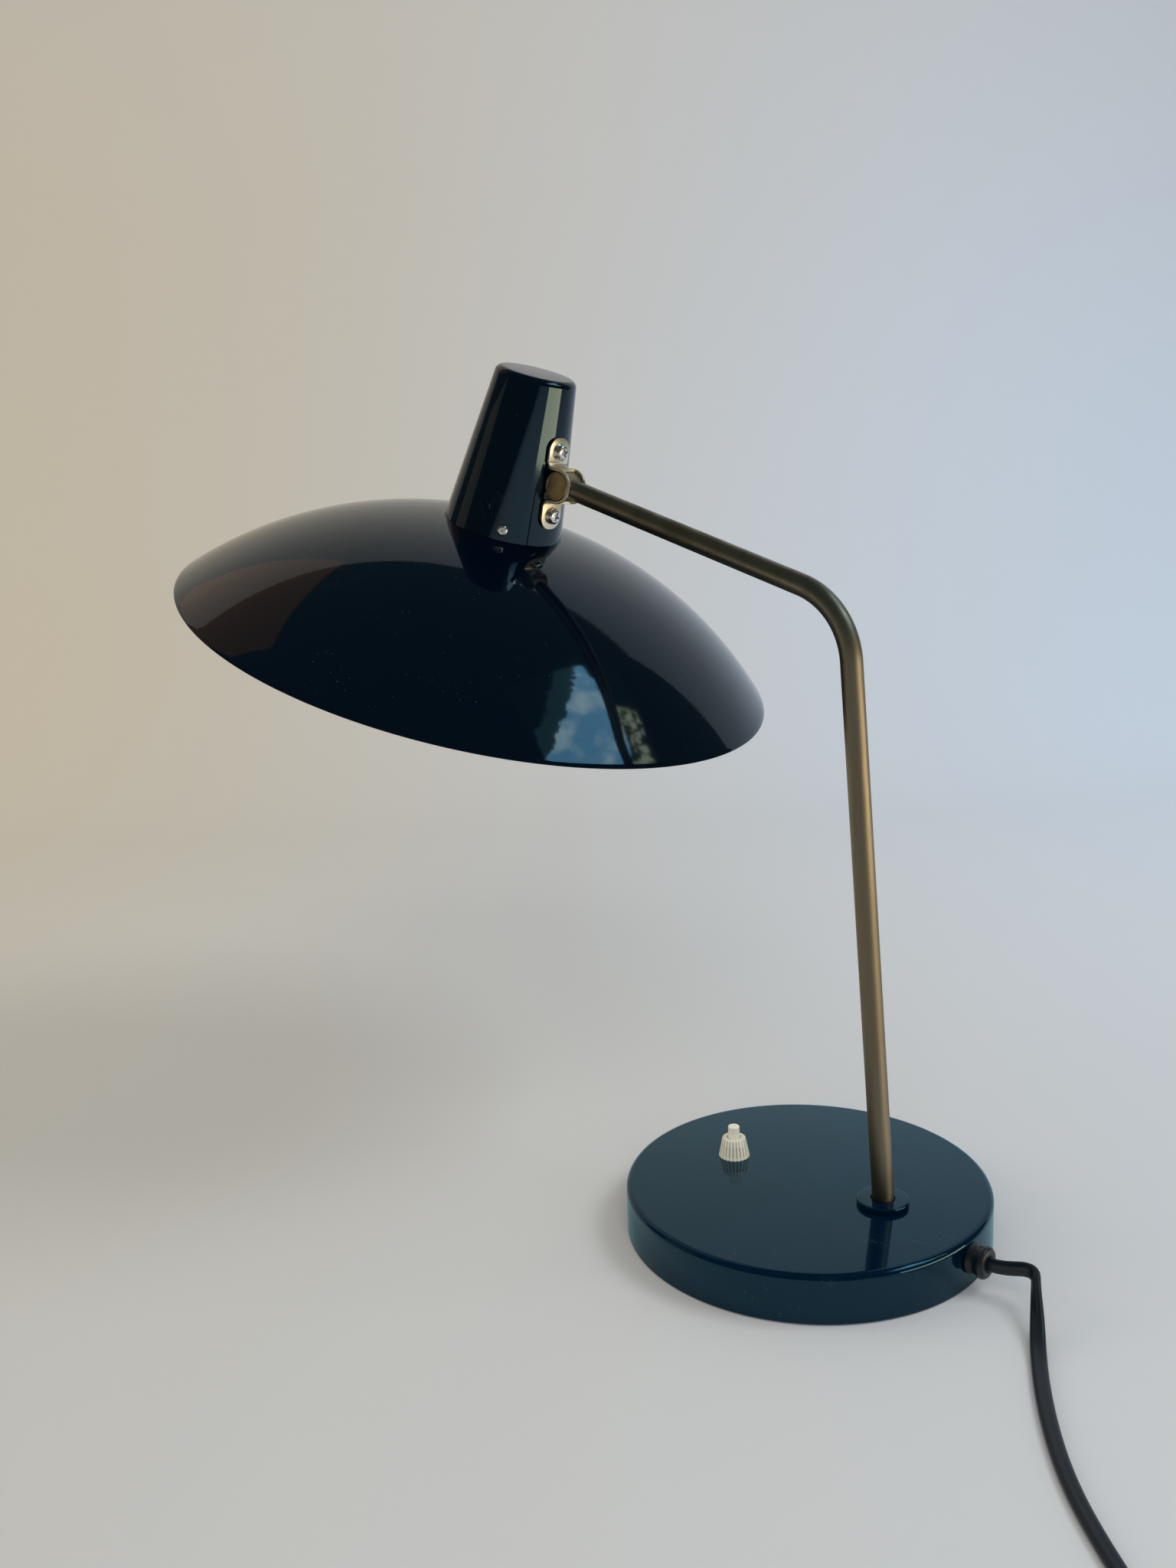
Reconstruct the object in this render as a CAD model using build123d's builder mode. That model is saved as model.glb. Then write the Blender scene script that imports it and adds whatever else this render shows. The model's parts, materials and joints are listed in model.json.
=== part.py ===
from build123d import *
from math import acos, asin, atan2, cos, degrees, pi, radians, sin, sqrt, tan
import os

# Desk lamp: a round weighted base, a bent tube and a wide shallow shade that tilts on a crosswise barrel.
# Millimetres, Z up. The origin is the middle of the base on the table, the shade reaches towards -X.

# Clearances
slip = 0.05  # pieces that are pushed, screwed or brazed together
running = 0.1  # a sliding piece in its bore
play = 0.3  # loose pieces and pieces of different bodies
overrun = 2.0  # how far a cut runs past the face that it opens

# Base
base_radius = 86.0
base_height = 22.8
base_edge = 2.9
shell_wall = 1.2
skirt_gap = 0.8
felt_thickness = 1.5
felt_inset = 2.4
plate_thickness = 1.0
web_thickness = 5.0
pocket_radius = 60.0
plate_screw_circle = 72.0
plate_screw_count = 3
plate_screw_length = 9.0
plate_screw_head = 1.2

# Stem and arm
tube_radius = 5.0
tube_wall = 1.0
stem_x = 40.6
stem_rise = 6.0
foot_bend = 110.0
column_lean = 3.8
corner_height = 295.3
arm_rise = 19.7
arm_length = 169.9
elbow_radius = 38.0
flange_radius = 11.9
flange_thickness = 2.9
flange_edge = 0.9
nut_across = 14.0
nut_height = 5.0
washer_radius = 9.0
washer_thickness = 1.0
thread_over = 1.5

# Pivot
barrel_radius = 7.3
barrel_over = 0.2
barrel_edge = 0.5
tube_seat = 2.6
wire_mouth_radius = 3.2
wire_mouth_angle = 45.0
strap_width = 13.9
loop_width = 12.6
loop_corner = 0.6
strap_thickness = 1.3
strap_bend = 1.6
strap_half_length = 22.7
strap_corner = 6.2
strap_screw_offset = 15.8
slot_half_angle = 80.0

# Shade and cap, in the shade's own frame: height runs from the plane of the rim
shade_tilt = 20.8
rim_radius = 159.0
crown_height = 61.0
dome_radius = 219.0
shade_wall = 0.8
pivot_height = 93.4
cap_foot_radius = 31.0
cap_top_radius = 20.4
cap_top_height = 140.7
cap_edge = 3.5
neck_height = 8.2
window_width = 11.0
window_height = 17.0
window_corner = 3.0
cap_screw_height = 5.3
cap_screw_start = -48.0
cap_screw_count = 3
neck_nut_side = 5.5
neck_nut_thickness = 1.8

# Screws: shank radius, head radius and head height
m4_radius = 2.0
m4_head_radius = 4.0
m4_head = 2.6
m3_radius = 1.5
m3_head_radius = 2.8
m3_head = 1.9
strap_screw_length = 7.0
cap_screw_length = 6.0
head_round_share = 0.6
recess_span_share = 1.1
recess_width_share = 0.24
recess_depth_share = 0.5
recess_taper = 12.0
washer_ring = 0.9
washer_margin = 0.2

# Lampholder and bulb
bracket_thickness = 2.0
bracket_width = 14.0
bracket_foot = 20.4
bracket_clearance = 18.5
bracket_reach = 9.0
bracket_bend = 2.5
bracket_window = 8.0
bracket_window_height = 17.0
nipple_radius = 5.0
nipple_bore = 3.4
nipple_length = 14.0
holder_nut_across = 14.0
holder_nut_height = 3.0
holder_radius = 17.5
holder_wall = 1.2
holder_drop = 37.4
insert_thickness = 7.0
shoulder_drop = 17.4
holder_neck_radius = 7.5
holder_neck_height = 3.0
holder_lap = 4.0
ledge_depth = 1.2
sleeve_wall = 0.6
bulb_base_radius = 13.1
bulb_base_wall = 0.5
bulb_base_height = 21.0
bulb_radius = 27.5
bulb_length = 97.0
bulb_tip_radius = 4.5
bulb_tip_height = 2.2
bulb_wall = 0.8
contact_width = 6.0
contact_thickness = 0.6

# Switch
switch_x = -41.5
switch_length = 24.0
switch_width = 17.0
switch_height = 16.0
switch_floor = 2.0
neck_radius = 4.0
neck_over = 8.6
button_radius = 2.8
button_show = 2.8
button_travel = 3.0
button_edge = 0.5
plunger_radius = 4.0
plunger_thickness = 1.5
switch_roof = 3.0
cavity_gap = 0.5
collar_foot_radius = 7.6
collar_top_radius = 5.7
collar_height = 9.6
collar_bore_gap = 0.5
collar_lip = 1.0
collar_edge = 0.4
flute_count = 24
flute_radius = 0.6
flute_low_share = 0.14
flute_high_share = 0.88
spring_wire = 0.5
spring_gap = 0.4
spring_turns = 6
terminal_size = 4.0
terminal_gap = 8.0

# Cord, plug and inner wiring
cord_width = 6.4
exit_azimuth = -3.3
exit_height = 13.8
lead_height = 12.4
lead_run = 5.0
grommet_radius = 7.2
grommet_reach = 8.8
grommet_root = 6.8
grommet_neck = 6.2
grommet_waist = 5.2
grommet_inner_radius = 6.6
grommet_flange = 1.5
grommet_lip = 2.2
clip_width = 7.0
clip_gap = 4.0
clip_tab = 7.0
block_length = 20.0
block_width = 14.0
block_height = 9.0
block_x = 4.0
wire_radius = 1.1
wire_pair_gap = 0.2
wire_drop = 4.6
wire_end = 0.5
lead_bend = 8.0
wire_bend = 3.4
exit_run = 5.0
bend_share = 0.45
layer_step = 7.2
turn_step = 7.4
coil_inner_radius = 21.5
coil_turns = 3.25
gap_samples = 900
tail_radius = 80.0
tail_turn = 25.0
plug_length = 38.0
plug_width = 34.0
plug_head = 24.0
plug_nose_width = 14.0
plug_edge = 3.0
pin_radius = 2.0
pin_length = 19.0
pin_spacing = 19.0
pin_root = 6.0
pin_tang_radius = 1.6
pin_step = 0.3
pin_edge = 0.6


def finish(piece, name):
    """Label a finished piece and write it under its own name."""
    piece.part.label = name
    export_step(piece.part, "parts/" + name + ".step")


def swept_rod(route, bends, radius):
    """Add a round rod to the part that is being built: straight runs joined by tangent arcs."""
    with BuildLine() as line:
        FilletPolyline(*route, radius=bends)
    with BuildSketch(Plane(origin=line.line @ 0, z_dir=line.line % 0)) as section:
        Circle(radius)
    sweep(sections=section.sketch, path=line.line)
    return line.wires()[0]


def pan_screw(seat, shank_radius, head_radius, head_height, length):
    """Add a cross-recessed pan-head screw that points against the seat plane's normal."""
    head_round = head_height * head_round_share
    inset = head_round * (1 - cos(pi / 4))
    with BuildSketch(Plane(origin=seat.origin, x_dir=seat.x_dir, z_dir=-seat.y_dir)) as half:
        with BuildLine():
            Polyline((0, -length), (shank_radius, -length), (shank_radius, 0), (head_radius, 0),
                     (head_radius, head_height - head_round))
            ThreePointArc((head_radius, head_height - head_round), (head_radius - inset, head_height - inset),
                          (head_radius - head_round, head_height))
            Polyline((head_radius - head_round, head_height), (0, head_height), (0, -length))
        make_face()
    revolve(half.sketch, axis=Axis(seat.origin, seat.z_dir))
    with BuildSketch(seat.offset(head_height)) as cross:
        for turn in (0, 90):
            Rectangle(head_radius * recess_span_share, head_radius * recess_width_share, rotation=turn)
    extrude(cross.sketch, amount=-head_height * recess_depth_share, taper=recess_taper, mode=Mode.SUBTRACT)


os.makedirs("parts", exist_ok=True)

# Levels in the base
plate_bottom = felt_thickness
plate_top = plate_bottom + plate_thickness
ceiling = base_height - shell_wall
web_bottom = ceiling - web_thickness
inner_radius = base_radius - shell_wall
plate_radius = inner_radius - play

# Where the cord leaves the base, and the direction in which it does
exit_turn = radians(exit_azimuth)
exit_way = Vector(cos(exit_turn), sin(exit_turn), 0)
exit_side = Vector(-sin(exit_turn), cos(exit_turn), 0)
exit_level = Vector(0, 0, exit_height)
lead_level = Vector(0, 0, lead_height)
exit_plane = Plane(origin=exit_way * base_radius + exit_level, x_dir=exit_side, z_dir=exit_way)
lead_radius = cord_width / 2
lead_bore = lead_radius + slip
block_face = block_x + block_length / 2
block_port = Vector(block_face, lead_radius + play - block_width / 2, lead_height)
lead_start = exit_way * (base_radius + grommet_reach) + exit_level
lead_side = -(washer_radius + lead_radius + clip_gap)
lead_route = [lead_start, exit_way * (base_radius - lead_run) + exit_level,
              exit_way * (pocket_radius - lead_radius) + lead_level,
              Vector(stem_x + washer_radius, lead_side, lead_height),
              Vector(stem_x - washer_radius, lead_side, lead_height),
              block_port + Vector(lead_bend, 0, 0), block_port]
clip_middle = Vector(stem_x, lead_side, lead_height)
clip_outer = web_bottom - lead_height
clip_thickness = clip_outer - lead_bore
clip_hole = clip_middle - Vector(0, clip_outer + clip_tab / 2, 0) + Vector(0, 0, clip_outer)
clip_screw_depth = web_thickness / 2

# The steel shell of the base
with BuildPart() as base_shell:
    with BuildSketch(Plane.XY.offset(skirt_gap)):
        Circle(base_radius)
    extrude(amount=base_height - skirt_gap)
    fillet(base_shell.faces().sort_by(Axis.Z)[-1].edges(), radius=base_edge)
    offset(amount=-shell_wall, openings=base_shell.faces().sort_by(Axis.Z)[0])
    with BuildSketch(Plane.XY.offset(ceiling - overrun)):
        with Locations((stem_x, 0)):
            Circle(tube_radius + slip)
        with Locations((switch_x, 0)):
            Circle(neck_radius + slip)
    extrude(amount=shell_wall + overrun * 2, mode=Mode.SUBTRACT)
    with BuildSketch(exit_plane.offset(-shell_wall - overrun)):
        Circle(grommet_waist + slip)
    extrude(amount=shell_wall + overrun * 2, mode=Mode.SUBTRACT)
finish(base_shell, "base_shell")

# The cast iron weight: a heavy ring with a web above the wiring pocket
weight_radius = inner_radius - play
with BuildPart() as base_weight:
    with BuildSketch(Plane.XY.offset(plate_top)):
        Circle(weight_radius)
    extrude(amount=ceiling - plate_top)
    chamfer(base_weight.faces().sort_by(Axis.Z)[-1].edges(), length=base_edge - shell_wall + play)
    with BuildSketch(Plane.XY.offset(plate_top)):
        Circle(pocket_radius)
    extrude(amount=web_bottom - plate_top, mode=Mode.SUBTRACT)
    with BuildSketch(Plane.XY.offset(plate_top)):
        with Locations((stem_x, 0)):
            Circle(tube_radius + slip)
        with Locations((switch_x, 0)):
            Rectangle(switch_length + play * 2, switch_width + play * 2)
    extrude(amount=ceiling - plate_top, mode=Mode.SUBTRACT)
    with BuildSketch(Plane.XY.offset(plate_top)):
        with PolarLocations(plate_screw_circle, plate_screw_count, start_angle=180 / plate_screw_count):
            Circle(m4_radius + slip)
    extrude(amount=plate_screw_length, mode=Mode.SUBTRACT)
    with BuildSketch(exit_plane):
        Rectangle(2 * (grommet_radius + play), 2 * (lead_radius + play))
        with Locations((0, -exit_height / 2)):
            Rectangle(2 * (grommet_radius + play), exit_height)
    extrude(amount=-(base_radius - pocket_radius) - overrun, mode=Mode.SUBTRACT)
    with BuildSketch(exit_plane.offset(-shell_wall)):
        Circle(grommet_inner_radius + play)
    extrude(amount=-grommet_flange - play * 2, mode=Mode.SUBTRACT)
    with BuildSketch(Plane(clip_hole)):
        Circle(m3_radius + slip)
    extrude(amount=clip_screw_depth + play, mode=Mode.SUBTRACT)
finish(base_weight, "base_weight")

# The bottom plate, its felt and its three screws
with BuildPart() as base_plate:
    with BuildSketch(Plane.XY.offset(plate_bottom)):
        Circle(plate_radius)
        with PolarLocations(plate_screw_circle, plate_screw_count, start_angle=180 / plate_screw_count):
            Circle(m4_radius + play, mode=Mode.SUBTRACT)
    extrude(amount=plate_thickness)
finish(base_plate, "base_plate")

with BuildPart() as base_felt:
    with BuildSketch():
        Circle(base_radius - felt_inset)
        with PolarLocations(plate_screw_circle, plate_screw_count, start_angle=180 / plate_screw_count):
            Circle(m4_head_radius + play, mode=Mode.SUBTRACT)
    extrude(amount=felt_thickness)
finish(base_felt, "base_felt")

with BuildPart() as plate_screws:
    for number in range(plate_screw_count):
        turn = radians((number + 0.5) * 360 / plate_screw_count)
        place = Vector(cos(turn), sin(turn), 0) * plate_screw_circle + Vector(0, 0, plate_bottom)
        pan_screw(Plane(origin=place, x_dir=(1, 0, 0), z_dir=(0, 0, -1)), m4_radius, m4_head_radius,
                  plate_screw_head, plate_screw_length)
finish(plate_screws, "plate_screws")

# The bent tube: it stands in the base, leans a little and turns into the rising arm
lean = radians(column_lean)
rise = radians(arm_rise)
washer_bottom = web_bottom - washer_thickness
nut_bottom = washer_bottom - nut_height
tube_foot = nut_bottom - thread_over
arm_way = Vector(-cos(rise), 0, sin(rise))
lean_start = Vector(stem_x, 0, base_height + stem_rise)
corner = lean_start + Vector(-tan(lean), 0, 1) * (corner_height - lean_start.Z)
pivot = corner + arm_way * arm_length
tube_end = pivot - arm_way * tube_seat
tube_route = [Vector(stem_x, 0, tube_foot), lean_start, corner, tube_end]

with BuildPart() as arm_tube:
    swept_rod(tube_route, [foot_bend, elbow_radius], tube_radius)
    with BuildPart(mode=Mode.PRIVATE) as tube_bore:
        swept_rod(tube_route, [foot_bend, elbow_radius], tube_radius - tube_wall)
    add(tube_bore.part, mode=Mode.SUBTRACT)
finish(arm_tube, "arm_tube")

with BuildPart() as foot_flange:
    with BuildSketch(Plane.XY.offset(base_height)):
        with Locations((stem_x, 0)):
            Circle(flange_radius)
            Circle(tube_radius + slip, mode=Mode.SUBTRACT)
    extrude(amount=flange_thickness)
    fillet(foot_flange.edges().filter_by(GeomType.CIRCLE).group_by(Axis.Z)[-1].sort_by(SortBy.RADIUS)[-1],
           radius=flange_edge)
finish(foot_flange, "foot_flange")

with BuildPart() as foot_washer:
    with BuildSketch(Plane.XY.offset(washer_bottom)):
        with Locations((stem_x, 0)):
            Circle(washer_radius)
            Circle(tube_radius + slip, mode=Mode.SUBTRACT)
    extrude(amount=washer_thickness)
finish(foot_washer, "foot_washer")

with BuildPart() as foot_nut:
    with BuildSketch(Plane.XY.offset(nut_bottom)):
        with Locations((stem_x, 0)):
            RegularPolygon(nut_across / 2, side_count=6, major_radius=False)
            Circle(tube_radius + slip, mode=Mode.SUBTRACT)
    extrude(amount=nut_height)
finish(foot_nut, "foot_nut")

# The crosswise barrel that is brazed on the arm's end
barrel_length = loop_width + barrel_over * 2
arm_plane = Plane(origin=pivot, x_dir=(0, 1, 0), z_dir=-arm_way)
with BuildPart() as pivot_barrel:
    with BuildSketch(Plane(origin=pivot, x_dir=(1, 0, 0), z_dir=(0, -1, 0))):
        Circle(barrel_radius)
    extrude(amount=barrel_length / 2, both=True)
    chamfer(pivot_barrel.edges().filter_by(GeomType.CIRCLE), length=barrel_edge)
    with BuildSketch(arm_plane.offset(tube_seat - slip)):
        Circle(tube_radius + slip)
    extrude(amount=barrel_radius + overrun, mode=Mode.SUBTRACT)
    with BuildSketch(arm_plane):
        Circle(wire_mouth_radius)
    extrude(amount=barrel_radius, both=True, mode=Mode.SUBTRACT)
    mouth = barrel_radius + tube_seat + overrun
    mouth_half = mouth * tan(radians(wire_mouth_angle))
    with BuildSketch(Plane(origin=pivot - arm_way * tube_seat, x_dir=arm_way, z_dir=(0, 1, 0))):
        Polygon((0, 0), (mouth, mouth_half), (mouth, -mouth_half), align=None)
    extrude(amount=wire_mouth_radius, both=True, mode=Mode.SUBTRACT)
finish(pivot_barrel, "pivot_barrel")

# The shade's frame: its axis leans from the vertical, and the strap holds it to the barrel
tilt = radians(shade_tilt)
across = Vector(cos(tilt), 0, -sin(tilt))
upward = Vector(sin(tilt), 0, cos(tilt))
cap_slope = atan2(cap_foot_radius - cap_top_radius, cap_top_height - crown_height)


def cap_radius(height):
    """Outer radius of the cap at a height above the plane of the rim."""
    return cap_foot_radius - (height - crown_height) * tan(cap_slope)


strap_seat = barrel_radius + running
pivot_radius = cap_radius(pivot_height) + (strap_seat + slip) / cos(cap_slope)
head_origin = pivot - across * pivot_radius - upward * pivot_height
head_plane = Plane(origin=head_origin, x_dir=across, z_dir=upward)
head_section = Plane(origin=head_origin, x_dir=across, z_dir=(0, -1, 0))
head_axis = Axis(head_origin, upward)
outward = across * cos(cap_slope) + upward * sin(cap_slope)
generator = upward * cos(cap_slope) - across * sin(cap_slope)
strap_section = Plane(origin=pivot, x_dir=outward, z_dir=(0, -1, 0))
tab_plane = Plane(origin=pivot - outward * strap_seat, x_dir=(0, 1, 0), z_dir=outward)


def in_head(radius, side, height):
    """A point of the shade's frame."""
    return head_origin + across * radius + Vector(0, side, 0) + upward * height


# The strap: two tabs on the cap and a loop round the barrel, slotted for the arm
loop_radius = barrel_radius + running
with BuildPart() as pivot_strap:
    with BuildSketch(strap_section) as omega:
        Circle(loop_radius + strap_thickness)
        with Locations((-strap_seat / 2, 0)):
            Rectangle(strap_seat, 2 * (loop_radius + strap_thickness))
        with Locations((-strap_seat + strap_thickness / 2, 0)):
            Rectangle(strap_thickness, strap_half_length * 2)
        with Locations((-strap_seat - overrun, 0)):
            Rectangle(2 * strap_seat, 4 * strap_half_length, align=(Align.MAX, Align.CENTER),
                      mode=Mode.SUBTRACT)
    extrude(amount=strap_width / 2, both=True)
    roots = pivot_strap.edges().filter_by(Axis.Y).filter_by(
        lambda e: abs((e.center() - pivot).dot(outward) + strap_seat - strap_thickness) < slip
        and abs(abs((e.center() - pivot).dot(generator)) - loop_radius - strap_thickness) < slip)
    fillet(roots, radius=strap_bend)
    with BuildSketch(strap_section):
        Circle(loop_radius)
        with Locations((-strap_seat / 2 - overrun, 0)):
            Rectangle(strap_seat + overrun * 2, 2 * loop_radius)
    extrude(amount=strap_width, both=True, mode=Mode.SUBTRACT)
    slot = radians(slot_half_angle)
    far = (loop_radius + strap_thickness) * 2
    with BuildSketch(strap_section):
        Polygon((0, 0), (far * cos(slot), far * sin(slot)), (far, far * sin(slot)), (far, -far * sin(slot)),
                (far * cos(slot), -far * sin(slot)), align=None)
    extrude(amount=tube_radius + play, both=True, mode=Mode.SUBTRACT)
    ends = pivot_strap.edges().filter_by(
        lambda e: abs(abs((e.center() - pivot).dot(generator)) - strap_half_length) < slip
        and abs(abs(e.center().Y) - strap_width / 2) < slip)
    fillet(ends, radius=strap_corner)
    waist_length = 2 * (loop_radius + strap_thickness + strap_bend)
    with BuildSketch(tab_plane):
        with Locations((-loop_width / 2 - barrel_radius, 0), (loop_width / 2 + barrel_radius, 0)):
            RectangleRounded(barrel_radius * 2, waist_length, loop_corner)
    extrude(amount=strap_seat * 3, both=True, mode=Mode.SUBTRACT)
    with BuildSketch(tab_plane):
        with Locations((0, strap_screw_offset), (0, -strap_screw_offset)):
            Circle(m4_radius + play)
    extrude(amount=strap_thickness * 2, both=True, mode=Mode.SUBTRACT)
finish(pivot_strap, "pivot_strap")

tab_face = tab_plane.offset(strap_thickness)
screw_seats = [Plane(origin=tab_face.origin + generator * side, x_dir=(0, 1, 0), z_dir=outward)
               for side in (strap_screw_offset, -strap_screw_offset)]
with BuildPart() as strap_washers:
    for seat in screw_seats:
        with BuildSketch(seat):
            Circle(m4_head_radius + washer_margin)
            Circle(m4_radius + slip, mode=Mode.SUBTRACT)
        extrude(amount=washer_ring)
finish(strap_washers, "strap_washers")

with BuildPart() as strap_screws:
    for seat in screw_seats:
        pan_screw(seat.offset(washer_ring), m4_radius, m4_head_radius, m4_head, strap_screw_length)
finish(strap_screws, "strap_screws")

# The dome: one arc from the rim to the cap's foot, with a conical neck that the cap slides over
rim_point = Vector(rim_radius, 0)
crown_point = Vector(cap_foot_radius, crown_height)
chord = crown_point - rim_point
sag_reach = sqrt(dome_radius ** 2 - (chord.length / 2) ** 2)
dome_centre = (crown_point + rim_point) / 2 + Vector(chord.Y, -chord.X).normalized() * -sag_reach


def dome_height(radius, arc_radius):
    """Height of the dome's outer or inner arc at a radius."""
    return dome_centre.Y + sqrt(arc_radius ** 2 - (radius - dome_centre.X) ** 2)


def dome_reach(height, arc_radius):
    """Radius of the dome's outer or inner arc at a height."""
    return dome_centre.X + sqrt(arc_radius ** 2 - (height - dome_centre.Y) ** 2)


inner_arc = dome_radius - shade_wall
neck_gap = shade_wall / cos(cap_slope) + running


def neck_outer(height):
    """Outer radius of the neck, inside the cap's wall."""
    return cap_radius(height) - neck_gap


neck_low = dome_height(neck_outer(crown_height), dome_radius)
neck_top = crown_height + neck_height
neck_bottom_radius = neck_outer(neck_low)
neck_inner_low = neck_bottom_radius - shade_wall
mid_radius = (rim_radius + neck_bottom_radius) / 2
with BuildPart() as shade_bowl:
    with BuildSketch(head_section) as bowl_half:
        with BuildLine():
            ThreePointArc((rim_radius, 0), (mid_radius, dome_height(mid_radius, dome_radius)),
                          (neck_bottom_radius, neck_low))
            Polyline((neck_bottom_radius, neck_low), (neck_outer(neck_top), neck_top),
                     (neck_outer(neck_top) - shade_wall, neck_top),
                     (neck_inner_low, dome_height(neck_inner_low, inner_arc)))
            ThreePointArc((neck_inner_low, dome_height(neck_inner_low, inner_arc)),
                          (mid_radius, dome_height(mid_radius, inner_arc)), (dome_reach(0, inner_arc), 0))
            Line((dome_reach(0, inner_arc), 0), (rim_radius, 0))
        make_face()
    revolve(axis=head_axis)
    screw_angles = [cap_screw_start + number * 360 / cap_screw_count for number in range(cap_screw_count)]
    cap_screw_level = crown_height + cap_screw_height
    screw_planes = []
    for angle in screw_angles:
        way = across * cos(radians(angle)) + Vector(0, sin(radians(angle)), 0)
        slanted = way * cos(cap_slope) + upward * sin(cap_slope)
        place = head_origin + upward * cap_screw_level + way * cap_radius(cap_screw_level)
        screw_planes.append(Plane(origin=place, x_dir=upward.cross(way), z_dir=slanted))
    for seat in screw_planes:
        with BuildSketch(seat.offset(-m3_head_radius * 2)):
            Circle(m3_radius + slip)
        extrude(amount=m3_head_radius * 3, mode=Mode.SUBTRACT)
finish(shade_bowl, "shade_bowl")

# The cap: a closed cone with a window behind the barrel
cap_bottom = dome_height(cap_foot_radius - shade_wall, dome_radius) + slip
cap_window = Plane(origin=pivot - outward * strap_seat, x_dir=(0, 1, 0), z_dir=outward)
with BuildPart() as cap_shell:
    with BuildSketch(head_section):
        with BuildLine():
            Polyline((0, cap_bottom), (cap_radius(cap_bottom), cap_bottom), (cap_top_radius, cap_top_height),
                     (0, cap_top_height), close=True)
        make_face()
    revolve(axis=head_axis)
    fillet(cap_shell.faces().sort_by(head_axis)[-1].edges(), radius=cap_edge)
    offset(amount=-shade_wall, openings=cap_shell.faces().sort_by(head_axis)[0])
    with BuildSketch(cap_window):
        RectangleRounded(window_width, window_height, window_corner)
    extrude(amount=holder_radius / 2, both=True, mode=Mode.SUBTRACT)
    with BuildSketch(cap_window):
        with Locations((0, strap_screw_offset), (0, -strap_screw_offset)):
            Circle(m4_radius + play)
    extrude(amount=strap_screw_length, both=True, mode=Mode.SUBTRACT)
    for seat in screw_planes:
        with BuildSketch(seat.offset(-m3_head_radius)):
            Circle(m3_radius + play)
        extrude(amount=m3_head_radius * 2, mode=Mode.SUBTRACT)
finish(cap_shell, "cap_shell")

with BuildPart() as cap_screws:
    for seat in screw_planes:
        pan_screw(seat.offset(slip), m3_radius, m3_head_radius, m3_head, cap_screw_length)
finish(cap_screws, "cap_screws")

nut_bow = neck_outer(cap_screw_level) - sqrt(neck_outer(cap_screw_level) ** 2 - (neck_nut_side / 2) ** 2)
nut_depth = neck_gap + shade_wall + nut_bow + slip
with BuildPart() as neck_nuts:
    for seat in screw_planes:
        with BuildSketch(seat.offset(-nut_depth)):
            Rectangle(neck_nut_side, neck_nut_side)
            Circle(m3_radius + slip, mode=Mode.SUBTRACT)
        extrude(amount=-neck_nut_thickness)
finish(neck_nuts, "neck_nuts")

# The bracket inside the cap: the strap's screws hold its leg, and its shelf carries the lampholder
bracket_height = cap_top_height - shade_wall - bracket_clearance
mouth_height = bracket_height - holder_drop
holder_shoulder = bracket_height - shoulder_drop
wall_inside = cap_radius(bracket_height) - shade_wall / cos(cap_slope)
leg_bow = wall_inside - sqrt(wall_inside ** 2 - (bracket_width / 2) ** 2)
leg_depth = strap_seat + slip + shade_wall + leg_bow + slip
leg_top_height = bracket_height + bracket_thickness
leg_middle = pivot - outward * (leg_depth + bracket_thickness / 2)


def head_uw(point):
    """A point's radius and height in the shade's frame."""
    return (point - head_origin).dot(across), (point - head_origin).dot(upward)


low_u, low_w = head_uw(leg_middle - generator * bracket_foot)
high_u, high_w = head_uw(leg_middle + generator * bracket_foot)
shelf_level = bracket_height + bracket_thickness / 2
corner_u = low_u - (shelf_level - low_w) * tan(cap_slope)
with BuildPart() as holder_bracket:
    with BuildSketch(head_section):
        with BuildLine():
            FilletPolyline((low_u, low_w), (corner_u, shelf_level), (-bracket_reach, shelf_level),
                           radius=bracket_bend + bracket_thickness / 2)
        trace(line_width=bracket_thickness)
        with BuildLine():
            Line((low_u, low_w), (high_u, high_w))
        trace(line_width=bracket_thickness)
    extrude(amount=bracket_width / 2, both=True)
    with BuildSketch(head_plane.offset(bracket_height)):
        Circle(nipple_radius + slip)
    extrude(amount=bracket_thickness * 2, both=True, mode=Mode.SUBTRACT)
    with BuildSketch(tab_plane):
        with Locations((0, strap_screw_offset), (0, -strap_screw_offset)):
            Circle(m4_radius + slip)
        Rectangle(bracket_window, bracket_window_height)
    extrude(amount=-strap_screw_length * 2, mode=Mode.SUBTRACT)
finish(holder_bracket, "holder_bracket")

nipple_low = bracket_height - (nipple_length - bracket_thickness - holder_nut_height - thread_over)
with BuildPart() as holder_nipple:
    with BuildSketch(head_plane.offset(nipple_low)):
        Circle(nipple_radius)
        Circle(nipple_bore, mode=Mode.SUBTRACT)
    extrude(amount=nipple_length)
finish(holder_nipple, "holder_nipple")

with BuildPart() as nipple_nut:
    with BuildSketch(head_plane.offset(leg_top_height)):
        RegularPolygon(holder_nut_across / 2, side_count=6, major_radius=False)
        Circle(nipple_radius + slip, mode=Mode.SUBTRACT)
    extrude(amount=holder_nut_height)
finish(nipple_nut, "nipple_nut")

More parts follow.
